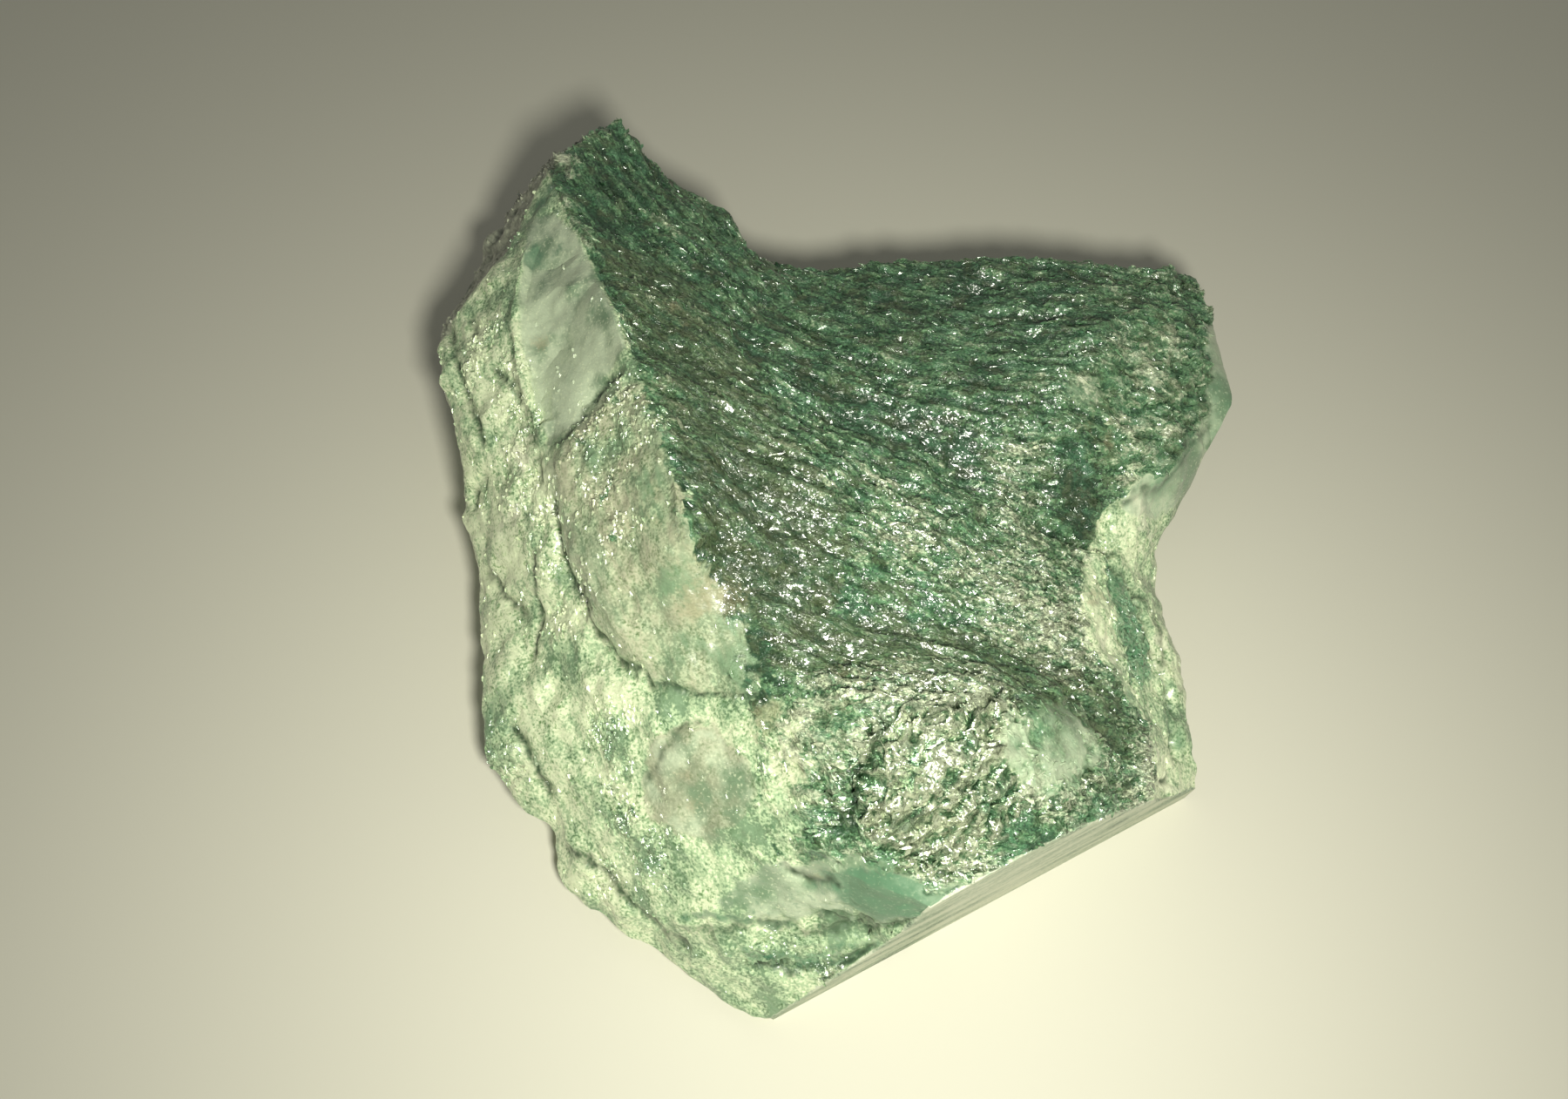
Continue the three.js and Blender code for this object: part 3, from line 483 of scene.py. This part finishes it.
folds = turned(points + 1.1 * swirl, stoneShape["crumpleTurn"]) / stoneShape["crumpleStretch"]
crumple = (0.7 * creased(folds / stoneShape["crumpleSize"], 3, 0.0)
           + 0.6 * plateRelief(folds, 0.9 * stoneShape["crumpleSize"], 44, 0.9))
satin = alongLayers(lambda flow: creased((flow + 1.2 * swirl) / stoneShape["satinSizes"], 43, 0.05))
backSatin = 1.2 * creased((bent + 1.5 * swirl) / stoneShape["backSatinSizes"], 83, 0.0)
satin = satin + zone["backFoil"] * (backSatin - satin)
plateShift = 0.4 * shiftBy(points, 1.4, 71)
plates = alongLayers(lambda flow: plateRelief((flow + plateShift) / stoneShape["plateStretch"],
                                              stoneShape["plateSize"], 4, stoneShape["plateLean"]))
lumps = fractal(points / stoneShape["lumpSize"], 1, 3)
height = stoneShape["lumpHeight"] * lumps * (0.3 + 0.7 * quiet) * (1 + 0.5 * pale)
height += stoneShape["waveHeight"] * waves * quiet * mica
height += (stoneShape["ridgeHeight"] * (ridges + 0.6 * fineRidges) * quiet * facing * (1 - 0.8 * foil)
           * (0.3 + 0.7 * mica))
height += stoneShape["crumpleHeight"] * crumple * zone["foil"] * facing * quiet
height += (stoneShape["satinHeight"] * satin * mica * (0.2 + 0.5 * sheen + 0.5 * folded) * (1 - zone["foil"])
           * quiet * facing)
height += (stoneShape["plateHeight"] * plates * quiet * facing * (1 - 0.8 * foil - 0.6 * zone["backFoil"])
           * (mica * (0.4 + 0.7 * sheen) + pale * (0.12 + 0.35 * glitter)))
# painted shade: a dark line along each groove and at the foot of each step
paintedShadeLine = np.zeros(len(points))
lens = smoothStep(-0.3, 0.5, outlineDistance(points + 0.25 * wander, places["lens"]))
stained = 0.5 * zone["footFace"] + 0.85 * lens
emerald, olive = emerald * (1 - 0.8 * lens), olive * (1 - 0.8 * lens)
for kind, size, width, line in breaks.values():
    bends = 0.2 if kind == "stain" else 0.45
    distance, side, fade = breakLine(points + (bends * wander + 0.15 * fray) * ragged[:, None], line)
    strength = fade * upward * (1 - sawn) * clamp01(0.85 + 0.6 * fray[:, 0])
    if kind == "stain":
        stained = np.maximum(stained, size * np.exp(-(distance / width) ** 2) * strength)
    elif kind == "step":
        rise = smoothStep(-width, width, distance * side) - 0.5
        height += size * rise * np.exp(-distance / 2.5) * strength
        paintedShadeLine = np.maximum(paintedShadeLine, 0.75 * np.exp(-((distance * side + width) / width) ** 2) * strength)
    else:
        sign = 1 if kind == "ridge" else -1
        height += sign * size * np.exp(-(distance / width) ** 2) * strength
        if kind == "groove":
            paintedShadeLine = np.maximum(paintedShadeLine, np.exp(-(distance / (0.8 * width)) ** 2) * strength)
height *= 1 - sawn
rise = np.clip(points[:, 2] / 1.5, 0, 1)
moved = points + normals * (height * np.where(onRest, 0, rise))[:, None]
moved[:, 2] = np.maximum(moved[:, 2], 0)
moved -= np.maximum(0, (moved - cutPoint) @ cutNormal)[:, None] * cutNormal
stoneMesh.vertices.foreach_set("co", (moved * mm).ravel())
stoneMesh.polygons.foreach_set("use_smooth", [True] * len(stoneMesh.polygons))
stoneMesh.update()
# hollows: how far each point lies below the surface around it
around = smoothPoints(moved, pairs, np.full(len(points), 0.6), 5)
lift = np.einsum("ij,ij->i", moved - around, normals)
# painted shade in the cracks, at the foot of the steps and in the hollows
dark = np.maximum(0.85 * paintedShadeLine, 0.45 * clamp01(-lift / 0.2) * (1 - 0.5 * pale))
tone = tone + (0.22 + 0.2 * foil) * np.clip(lift / 0.12, -1, 1) * mica  # crests get painted light, hollows painted shade
exposed = smoothStep(0.12, 0.45, normals[:, 2]) * smoothStep(1.0, 3.0, points[:, 2])


def newObject(name, data):
    item = bpy.data.objects.new(name, data)
    bpy.context.scene.collection.objects.link(item)
    return item


def addAttribute(mesh, name, kind, values):
    # one value, vector or colour for every vertex
    key = {"FLOAT": "value", "FLOAT_VECTOR": "vector", "FLOAT_COLOR": "color"}[kind]
    layer = mesh.attributes.new(name, kind, "POINT")
    layer.data.foreach_set(key, np.ascontiguousarray(values, np.float32).ravel())


dull = pale * (1 - waxy)
paint = {
    "rock": (pale, waxy, tone),
    "stain": (olive, emerald, zone["riser"] * upward),
    "mottle": (np.maximum(teal, stained), cream, brown),
    # grey rind, saw cut, and the painted shade of cracks, steps and hollows
    "finish": (grey, sawn, clamp01(dark)),
    # roughness, pearly share and clear gloss
    "lustre": (0.32 + 0.14 * dull + 0.2 * (sawn + lens) - 0.14 * foil,
               (0.08 + 0.5 * foil) * mica * (1 - sawn), (1 - sawn) * (1 - 0.8 * lens) * (1 - 0.4 * dull)),
    # share of foil, height of the usual plates and creases, and of the smallest plates
    "relief": (foil * (1 - sawn), quiet * (mica * (0.5 + 0.4 * sheen) + 0.06 * pale)
               * (1 - 0.65 * foil - 0.5 * zone["backFoil"]),
               quiet * (0.25 * mica + pale * (0.1 + 0.4 * glitter)) * (1 - 0.85 * foil)),
}
for name, values in paint.items():
    addAttribute(stoneMesh, name, "FLOAT_COLOR", np.stack([*values, np.ones(len(points))], axis=1))
addAttribute(stoneMesh, "flow", "FLOAT_VECTOR", bent)
layerRun = np.stack([-fromCentre[:, 1], fromCentre[:, 0], np.zeros(len(points))], axis=1)
layerRun /= np.linalg.norm(layerRun, axis=1)[:, None]
flankRun = np.array([math.cos(math.radians(stoneShape["flankTurn"])),
                     math.sin(math.radians(stoneShape["flankTurn"])), 0.0])
addAttribute(stoneMesh, "layerRun", "FLOAT_VECTOR", layerRun * (1 - pale)[:, None] + flankRun * pale[:, None])
micaShare = mica * exposed * (1 - sawn) * (1 - 0.8 * foil) * (0.4 + 0.6 * sheen)
quartzShare = exposed * (1 - sawn) * (1 - 0.9 * waxy) * clamp01(0.015 * pale + 1.2 * glitter * clusters)
addAttribute(stoneMesh, "micaShare", "FLOAT", micaShare)
addAttribute(stoneMesh, "quartzShare", "FLOAT", quartzShare)
stone = newObject("fuchsite", stoneMesh)
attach(stone, "root")
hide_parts("fuchsite_stone")


def linear(hexColour):
    # an sRGB hex colour as linear red, green, blue and 1
    parts = [int(hexColour[i:i + 2], 16) / 255 for i in (1, 3, 5)]
    return tuple(c / 12.92 if c <= 0.04045 else ((c + 0.055) / 1.055) ** 2.4 for c in parts) + (1.0,)


def addNode(tree, kind, settings, inputs=None):
    # an input takes a value, a colour as sRGB hex, or another node's output
    node = tree.nodes.new(kind if "Node" in kind else "ShaderNode" + kind)
    for name, value in settings.items():
        setattr(node, name, value)
    for name, value in (inputs or {}).items():
        if isinstance(value, bpy.types.NodeSocket):
            tree.links.new(value, node.inputs[name])
        elif isinstance(value, str) and value.startswith("#"):
            node.inputs[name].default_value = linear(value)
        else:
            node.inputs[name].default_value = value
    return node.outputs


def newMaterial(name):
    material = bpy.data.materials.new(name)
    material.use_nodes = True
    material.node_tree.nodes.clear()
    return material, material.node_tree


# Fuchsite: chromium muscovite schist with quartz, broken by hand. The mica splits into pearly plates
# 0.3 to 3 mm wide that flash one by one; the quartz-rich layers are pale, waxy and a little see-through.
schistLook = {
    "micaDeep": "#2f5236", "micaMid": "#6b9769", "micaBright": "#dae5c2", "olive": "#626c4b",
    "quartzGreen": "#7f9c78", "quartzMid": "#b4cda1", "quartzCream": "#e8f3ca",
    "slabOlive": "#aeae92", "emerald": "#558a64", "waxyDeep": "#738f6e", "waxyMid": "#c4d3b2",
    "riser": "#76866a", "greyDark": "#6e7362", "greyPale": "#b3b89f", "teal": "#467657",
    # crevice: the colour of painted shade in creases, cracks and hollows
    "cream": "#eef2d2", "brown": "#98906e", "crevice": "#1f3a1f", "grainShade": "#90b080",
    "sawnPale": "#ccd1b8", "sawnGreen": "#8aa182", "sawnDark": "#46594a",
    "fold": 1.3,  # width of the crumpled plates on the knob, mm
    "plate": 0.9,  # width of the usual plates, mm
    "finePlate": 0.42,  # width of the smallest plates, mm
    # each pattern: what it follows, the size of its lumps along that, across it and upwards in mm, its
    # detail and its roughness
    "patterns": {
        "streaks": ("flow", (4.0, 0.7, 1.0), 4.0, 0.65),  # light and dark in the mica
        "foilStreaks": ("folds", (3.4, 1.2, 1.6), 3.0, 0.6),  # the same on the knob
        "creases": ("swayedFlow", (1.428, 0.42, 0.588), 3.0, 0.75),  # fine creases of the mica
        "foilCreases": ("folds", (1.848, 0.672, 0.84), 3.0, 0.75),  # the same on the knob
        "hues": ("swayed", (2.4, 1.6, 2.0), 3.0, 0.5),  # bluer and yellower mica
        "flankStreaks": ("flank", (5.0, 0.9, 1.2), 4.0, 0.6),  # light and dark in the quartz
        "blotches": ("place", (5.0, 5.0, 5.0), 3.0, 0.5),  # clouds of the quartz
        "sugar": ("place", (2.6, 2.6, 2.6), 3.0, 0.5),  # where the quartz is sugary
        "specks": ("place", (0.6, 0.6, 0.6), 3.0, 0.7),  # clusters of grains
        "grains": ("place", (0.3, 0.3, 0.3), 1.0, 0.5),  # grains, drawn twice as coarse to show
        "bands": ("place", (12.0, 12.0, 2.6), 5.0, 0.62),  # layers in the sawn face
    },
}


def schistMaterial(name, look, isPlate):
    material, tree = newMaterial(name)
    node = functools.partial(addNode, tree)

    def pattern(kind, place, sizes, settings, turn=0.0):
        # a texture whose lumps have the given sizes in mm
        scaled = node("Mapping", {"vector_type": "TEXTURE"},
                      {"Vector": place, "Rotation": (0, 0, math.radians(turn)), "Scale": sizes})[0]
        return node(kind, {}, {"Vector": scaled, "Scale": 1.0, **settings}), scaled

    def weighed(start, parts):
        # a mask or a lightness plus its share of each pattern, with the patterns centred on zero
        total = node("Math", {"operation": "SUBTRACT"},
                     {0: start, 1: 0.5 * sum(share for _, share in parts)})[0]
        for source, share in parts:
            total = node("Math", {"operation": "MULTIPLY_ADD"}, {0: source, 1: share, 2: total})[0]
        return total

    def layered(body, layers):
        # each layer covers what lies under it, more and more from one lightness to another
        for light, low, high, most, colour in layers:
            colour = look[colour] if isinstance(colour, str) else colour
            share = node("MapRange", {"interpolation_type": "SMOOTHSTEP"},
                         {"Value": light, "From Min": low, "From Max": high, "To Max": most})[0]
            body = node("Mix", {"data_type": "RGBA"}, {0: share, 6: body, 7: colour})[2]
        return body

    def platesOf(place, size, stretch, lean, turn=0.0):
        # every cell is one plate, tilted its own way: its height, and its random colour
        cells, scaled = pattern("TexVoronoi", place, (stretch * size, size, size), {}, turn)
        away = node("VectorMath", {"operation": "SUBTRACT"}, {0: scaled, 1: cells["Position"]})[0]
        tilt = node("VectorMath", {"operation": "SUBTRACT"},
                    {0: cells["Color"], 1: (0.5, 0.5 - lean, 0.5)})[0]
        height = node("VectorMath", {"operation": "DOT_PRODUCT"}, {0: away, 1: tilt})["Value"]
        return height, node("SeparateColor", {}, {"Color": cells["Color"]})[0]

    def painted(name):
        # the three values painted into one attribute of the stone
        colour = node("Attribute", {"attribute_name": name})["Color"]
        return node("SeparateColor", {}, {"Color": colour})

    pale, waxy, tone = painted("rock")
    oliveMask, emeraldMask, riserMask = painted("stain")
    tealMask, creamMask, brownMask = painted("mottle")
    greyMask, sawnMask, creviceShadeMask = painted("finish")
    rough, pearl, gloss = painted("lustre")
    foil, broken, fineBroken = painted("relief")
    flow = node("Attribute", {"attribute_name": "flow"})["Vector"]
    place = node("VectorMath", {"operation": "SCALE"},
                 {0: node("TexCoord", {})["Object"], "Scale": 1000.0})[0]
    sway = pattern("TexNoise", place, (1.1, 1.1, 1.1), {"Detail": 2.0})[0]["Color"]
    swayed, swayedFlow = (
        node("VectorMath", {"operation": "MULTIPLY_ADD"}, {0: sway, 1: [reach] * 3, 2: along})[0]
        for reach, along in ((1.6, place), (0.9, flow)))
    paths = {"flow": (flow, 0), "swayedFlow": (swayedFlow, 0), "place": (place, 0), "swayed": (swayed, 0),
             "folds": (swayed, stoneShape["crumpleTurn"]), "flank": (place, stoneShape["flankTurn"])}
    drawn = {}
    for key, (path, sizes, detail, roughness) in look["patterns"].items():
        settings = {"Detail": detail, "Roughness": roughness}
        drawn[key] = pattern("TexNoise", paths[path][0], sizes, settings, paths[path][1])[0][0]
    blotches, specks, grains = drawn["blotches"], drawn["specks"], drawn["grains"]
    flankStreaks, hues = drawn["flankStreaks"], drawn["hues"]

    # colours
    streaks = node("Mix", {"data_type": "FLOAT"}, {0: foil, 2: drawn["streaks"], 3: drawn["foilStreaks"]})[0]
    # fine creases: 0 in a sharp valley, 1 on the rounded crests between
    creases = []
    for key in ("creases", "foilCreases"):
        fold = node("Math", {"operation": "SUBTRACT"}, {0: drawn[key], 1: 0.5})[0]
        fold = node("Math", {"operation": "ABSOLUTE"}, {0: fold})[0]
        creases.append(node("MapRange", {}, {"Value": fold, "From Max": 0.2})[0])
    crease = node("Mix", {"data_type": "FLOAT"}, {0: foil, 2: creases[0], 3: creases[1]})[0]
    if isPlate:
        plateTone = node("Attribute", {"attribute_name": "plateTone"})["Fac"]
    else:
        plateHeight, plateTone = platesOf(swayedFlow, look["plate"], 2.2, -0.3)
    micaLight = weighed(tone, [(streaks, 1.2), (blotches, 0.7), (plateTone, 0.3), (specks, 0.6),
                               (grains, 0.6)])
    # painted shade in the sharp valleys of the creases, deeper on the knob
    oliveMost = node("Math", {"operation": "MULTIPLY_ADD"}, {0: foil, 1: -0.4, 2: 0.5})[0]
    creaseShadeMost = node("Math", {"operation": "MULTIPLY_ADD"}, {0: foil, 1: 0.35, 2: 0.45})[0]
    mica = layered(look["micaDeep"], [
        (micaLight, 0.0, 0.52, 1.0, "micaMid"), (micaLight, 0.45, 1.1, 1.0, "micaBright"),
        (hues, 0.52, 0.64, 0.5, "emerald"), (hues, 0.48, 0.36, oliveMost, "olive"),
        (weighed(oliveMask, [(streaks, 1.8), (specks, 1.0)]), 0.25, 1.05, 0.65, "olive"),
        (crease, 0.14, 0.0, creaseShadeMost, "crevice")])
    # fine light and dark of the broken plates, without a change of hue: painted shade in the crease valleys
    # and painted light on their crests, with the grains
    fine = node("Math", {"operation": "MULTIPLY_ADD"},
                {0: weighed(0.0, [(crease, 1.2), (grains, 1.5)]), 1: broken, 2: 1.0})[0]
    fine = node("Clamp", {}, {0: fine, 1: 0.45, 2: 1.3})[0]
    mica = node("VectorMath", {"operation": "SCALE"}, {0: mica, "Scale": fine})[0]
    # the grains darken the quartz, most where it is sugary
    sugar = node("MapRange", {}, {"Value": drawn["sugar"], "From Min": 0.4, "From Max": 0.62,
                                  "To Min": -0.2, "To Max": -1.9})[0]
    paleLight = weighed(tone, [(blotches, 2.6), (specks, 1.4), (grains, 1.2), (flankStreaks, 2.0)])
    quartz = layered(look["quartzGreen"], [
        (paleLight, 0.0, 0.5, 1.0, "quartzMid"), (paleLight, 0.45, 1.1, 1.0, "quartzCream"),
        (weighed(oliveMask, [(blotches, 1.4), (flankStreaks, 0.8)]), 0.15, 0.8, 0.8, "slabOlive")])
    fine = node("Math", {"operation": "MULTIPLY_ADD", "use_clamp": True},
                {0: weighed(0.0, [(specks, 1.1), (grains, 1.1)]), 1: sugar, 2: 0.06})[0]
    quartz = node("Mix", {"data_type": "RGBA", "blend_type": "MULTIPLY"},
                  {0: fine, 6: quartz, 7: look["grainShade"]})[2]
    waxLight = weighed(tone, [(blotches, 1.5), (flankStreaks, 0.5), (specks, 0.5)])
    wax = layered(look["waxyDeep"], [
        (waxLight, 0.1, 0.7, 1.0, "waxyMid"),
        (weighed(riserMask, [(flankStreaks, 1.5), (specks, 0.5)]), 0.3, 1.1, 0.7, "riser"),
        (grains, 0.6, 0.7, 0.45, "quartzCream")])
    greyRock = layered(look["greyDark"], [(streaks, 0.35, 0.65, 1.0, "greyPale")])
    # the saw leaves a matt face that shows the layers as faint bands
    bands = weighed(drawn["bands"], [(specks, 0.35), (grains, 0.2)])
    sawn = layered(look["sawnPale"], [(bands, 0.38, 0.62, 0.75, "sawnGreen"),
                                      (bands, 0.6, 0.7, 0.75, "sawnDark")])
    body = layered(mica, [
        (weighed(pale, [(specks, 0.6)]), 0.35, 0.65, 1.0, quartz),
        (weighed(waxy, [(specks, 0.3)]), 0.1, 0.9, 1.0, wax),
        (greyMask, 0.2, 0.8, 1.0, greyRock),
        (weighed(emeraldMask, [(specks, 1.2), (flankStreaks, 0.8)]), 0.25, 1.0, 0.7, "emerald"),
        (weighed(tealMask, [(specks, 1.4), (flankStreaks, 1.6)]), 0.45, 1.0, 0.7, "teal"),
        (weighed(creamMask, [(specks, 1.2)]), 0.4, 1.0, 0.7, "cream"),
        (weighed(brownMask, [(specks, 1.4), (flankStreaks, 1.0)]), 0.4, 1.1, 0.5, "brown"),
        # painted shade in the cracks, at the foot of the steps and in the hollows
        (creviceShadeMask, 0.0, 1.0, 1.0, "crevice"),
        (sawnMask, 0.4, 0.6, 1.0, sawn)])

    # relief and gloss
    if isPlate:
        relief = node("Math", {"operation": "MULTIPLY"}, {0: specks, 1: 0.12})[0]
        rough = node("MapRange", {}, {"Value": plateTone, "To Min": 0.16, "To Max": 0.4})[0]
    else:
        foldHeight = platesOf(swayed, look["fold"], 2.4, 0.3, stoneShape["crumpleTurn"])[0]
        fineHeight = platesOf(swayed, look["finePlate"], 1.5, 0.0)[0]
        relief = 0.0
        for plate, amount, size in ((foldHeight, foil, 0.4 * look["fold"]),
                                    (plateHeight, broken, look["plate"]),
                                    (fineHeight, fineBroken, look["finePlate"])):
            sized = node("Math", {"operation": "MULTIPLY"}, {0: plate, 1: 1.6 * size})[0]
            relief = node("Math", {"operation": "MULTIPLY_ADD"}, {0: sized, 1: amount, 2: relief})[0]
    coatBump = node("Bump", {}, {"Strength": 1.0, "Distance": 0.001, "Height": relief})[0]
    if not isPlate:
        # the creases and grains break up the body but not the clear gloss over it
        raised = node("Math", {"operation": "MULTIPLY"}, {0: crease, 1: broken})[0]
        for source, share in ((raised, 0.16), (grains, 0.03)):
            relief = node("Math", {"operation": "MULTIPLY_ADD"}, {0: source, 1: share, 2: relief})[0]
        whole = node("MapRange", {}, {"Value": crease, "From Max": 0.35, "To Min": 0.3})[0]
        gloss = node("Math", {"operation": "MULTIPLY"}, {0: gloss, 1: whole})[0]
    bump = node("Bump", {}, {"Strength": 1.0, "Distance": 0.001, "Height": relief})[0]
    shader = node("BsdfPrincipled", {}, {
        "Base Color": body, "Roughness": rough, "Metallic": pearl, "IOR": 1.6, "Normal": bump,
        "Coat Weight": gloss, "Coat Roughness": 0.2, "Coat IOR": 1.8, "Coat Normal": coatBump})
    node("OutputMaterial", {}, {"Surface": shader["BSDF"]})
    return material


print("materials")
stoneMesh.materials.append(schistMaterial("fuchsite schist, broken", schistLook, False))
plateMaterial = schistMaterial("fuchsite mica, single plates", schistLook, True)

# Single plates of mica, half sunk in the surface. Each has 20 triangles. They are drawn a few times thicker
# than real ones so that their edges show.
plateLook = {
    # name: share attribute, plates per square mm, spacing, length, width, thickness (mm), tilt (degrees),
    # how far they keep to the layers instead of the surface, seed
    "micaPlates": ("micaShare", 5.0, 0.38, 1.15, 0.34, 0.08, 17, 0.25, 3),
    "quartzPlates": ("quartzShare", 22.0, 0.18, 0.6, 0.32, 0.08, 14, 0.9, 7),
}


def plateTree():
    tree = bpy.data.node_groups.new("scattered plates", "GeometryNodeTree")
    node = functools.partial(addNode, tree)
    for name, kind in (("Stone", "Geometry"), ("Share", "String"), ("Density", "Float"), ("Spacing", "Float"),
                       ("Size", "Vector"), ("Tilt", "Float"), ("Layering", "Float"), ("Seed", "Int"),
                       ("Material", "Material")):
        tree.interface.new_socket(name, in_out="INPUT", socket_type="NodeSocket" + kind)
    tree.interface.new_socket("Plates", in_out="OUTPUT", socket_type="NodeSocketGeometry")
    given = node("NodeGroupInput", {})
    share, run = (node("GeometryNodeInputNamedAttribute", {"data_type": kind}, {"Name": name})["Attribute"]
                  for kind, name in (("FLOAT", given["Share"]), ("FLOAT_VECTOR", "layerRun")))
    spread = node("GeometryNodeDistributePointsOnFaces", {"distribute_method": "POISSON"},
                  {"Mesh": given["Stone"], "Distance Min": given["Spacing"], "Density Max": given["Density"],
                   "Density Factor": share, "Seed": given["Seed"]})
    # a plate faces between the surface and the layers, lies along them and leans at random
    face = node("Mix", {"data_type": "VECTOR"},
                {0: given["Layering"], 4: spread["Normal"], 5: (0.12, -0.5, 0.86)})[1]
    faced = node("FunctionNodeAlignRotationToVector", {"axis": "Z"}, {"Vector": face})[0]
    laid = node("FunctionNodeAlignRotationToVector", {"axis": "X", "pivot_axis": "Z"},
                {"Rotation": faced, "Vector": run})[0]
    lean = node("FunctionNodeRandomValue", {"data_type": "FLOAT_VECTOR"},
                {0: (-1, -1, -2.5), 1: (1, 1, 2.5), "Seed": given["Seed"]})[0]
    lean = node("VectorMath", {"operation": "SCALE"}, {0: lean, "Scale": given["Tilt"]})[0]
    lean = node("FunctionNodeEulerToRotation", {}, {0: lean})[0]
    leant = node("FunctionNodeRotateRotation", {"rotation_space": "LOCAL"}, {0: laid, 1: lean})[0]
    size = node("FunctionNodeRandomValue", {"data_type": "FLOAT_VECTOR"},
                {0: (0.5, 0.6, 0.7), 1: (1.4, 1.3, 1.2), "Seed": 21})[0]
    size = node("VectorMath", {"operation": "MULTIPLY"}, {0: size, 1: given["Size"]})[0]
    plate = node("GeometryNodeMeshCylinder", {"fill_type": "NGON"},
                 {"Vertices": 6, "Radius": 0.5, "Depth": 1.0})[0]
    placed = node("GeometryNodeInstanceOnPoints", {},
                  {"Points": spread["Points"], "Instance": plate, "Rotation": leant, "Scale": size})[0]
    plateTone = node("FunctionNodeRandomValue", {"data_type": "FLOAT"}, {"Seed": 33})[1]
    placed = node("GeometryNodeStoreNamedAttribute", {"data_type": "FLOAT", "domain": "INSTANCE"},
                  {"Geometry": placed, "Name": "plateTone", "Value": plateTone})[0]
    solid = node("GeometryNodeRealizeInstances", {}, {"Geometry": placed})[0]
    # broken outlines: every corner is pushed about
    push = node("TexNoise", {}, {"Scale": 2400.0, "Detail": 0.0})["Color"]
    push = node("VectorMath", {"operation": "SUBTRACT"}, {0: push, 1: (0.5, 0.5, 0.5)})[0]
    reach = node("VectorMath", {"operation": "LENGTH"}, {0: given["Size"]})["Value"]
    push = node("VectorMath", {"operation": "SCALE"}, {0: push, "Scale": reach})[0]
    push = node("VectorMath", {"operation": "SCALE"}, {0: push, "Scale": 0.35})[0]
    solid = node("GeometryNodeSetPosition", {}, {"Geometry": solid, "Offset": push})[0]
    solid = node("GeometryNodeSetMaterial", {}, {"Geometry": solid, "Material": given["Material"]})[0]
    node("NodeGroupOutput", {}, {"Plates": solid})
    return tree


scatter = plateTree()
for name, (share, density, spacing, length, width, thickness, tilt, layering, seed) in plateLook.items():
    print("plates:", name)
    piece = newObject(name, stoneMesh)
    modifier = piece.modifiers.new("plates", "NODES")
    modifier.node_group = scatter
    sizes = {"Share": share, "Density": density / mm ** 2, "Spacing": spacing * mm,
             "Size": [length * mm, width * mm, thickness * mm], "Tilt": math.radians(tilt),
             "Layering": layering, "Seed": seed, "Material": plateMaterial}
    for item in scatter.interface.items_tree:
        if item.name in sizes:
            modifier[item.identifier] = sizes[item.name]
    plain = bpy.data.meshes.new_from_object(piece.evaluated_get(bpy.context.evaluated_depsgraph_get()))
    piece.modifiers.remove(modifier)
    piece.data = plain
    plain.name = name
    if not plain.materials:
        plain.materials.append(plateMaterial)
    print("  triangles", sum(len(p.vertices) - 2 for p in plain.polygons))
    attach(piece, "root")
    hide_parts("fuchsite_stone")
for mesh in [stoneMesh] + [bpy.data.objects[name].data for name in plateLook]:
    for name in ("layerRun", "micaShare", "quartzShare"):
        if name in mesh.attributes:
            mesh.attributes.remove(mesh.attributes[name])

# A pale table under one lamp beside the camera, in a bright room.
stageLook = {
    "floor": "#d6d4c4",
    "floorReach": 2.0,  # half its width, m
    "keyPlace": (9.0, -77.0, 122.0),  # mm
    "keyTarget": (-4.0, -2.0, 12.0),  # mm
    "keyPower": 0.21,  # W
    "keySize": 20.0,  # mm
    "keyColour": (1.0, 0.985, 0.88),
    "fill": 0.175,
    "fillColour": (0.98, 1.0, 0.94, 1.0),
    "cameraPlace": (-5.9, -62.5, 128.1),  # mm
    "cameraTilt": 27.5,  # degrees from straight down
    "lens": 26.0,  # mm, on a sensor 36 mm wide
}
print("stage: floor, lights and camera")
floorMesh = bpy.data.meshes.new("floor")
reach = stageLook["floorReach"]
corners = [(-reach, -reach, 0), (reach, -reach, 0), (reach, reach, 0), (-reach, reach, 0)]
floorMesh.from_pydata(corners, [], [(0, 1, 2, 3)])
floor = newObject("floor", floorMesh)
# Paper or cloth table top: matt, so it gives no highlight.
floorMaterial, floorTree = newMaterial("matt pale table")
floorShader = addNode(floorTree, "BsdfPrincipled", {}, {"Base Color": stageLook["floor"], "Roughness": 0.9})
addNode(floorTree, "OutputMaterial", {}, {"Surface": floorShader[0]})
floorMesh.materials.append(floorMaterial)

cameraData = bpy.data.cameras.new("camera")
cameraData.sensor_width = 36.0
cameraData.lens = stageLook["lens"]
cameraData.clip_start = 0.005
camera = newObject("camera", cameraData)
camera.location = Vector(stageLook["cameraPlace"]) * mm
camera.rotation_euler = (math.radians(stageLook["cameraTilt"]), 0, 0)
bpy.context.scene.camera = camera

keyData = bpy.data.lights.new("keyLight", "AREA")
keyData.shape = "DISK"
keyData.size = stageLook["keySize"] * mm
keyData.energy = stageLook["keyPower"]
keyData.color = stageLook["keyColour"]
keyLight = newObject("keyLight", keyData)
keyLight.location = Vector(stageLook["keyPlace"]) * mm
toStone = Vector(stageLook["keyTarget"]) * mm - keyLight.location
keyLight.rotation_euler = toStone.to_track_quat("-Z", "Y").to_euler()
world = bpy.data.worlds.new("studio")
world.use_nodes = True
background = world.node_tree.nodes["Background"]
background.inputs["Color"].default_value = stageLook["fillColour"]
background.inputs["Strength"].default_value = stageLook["fill"]
bpy.context.scene.world = world
bpy.context.scene.view_settings.view_transform = "Standard"
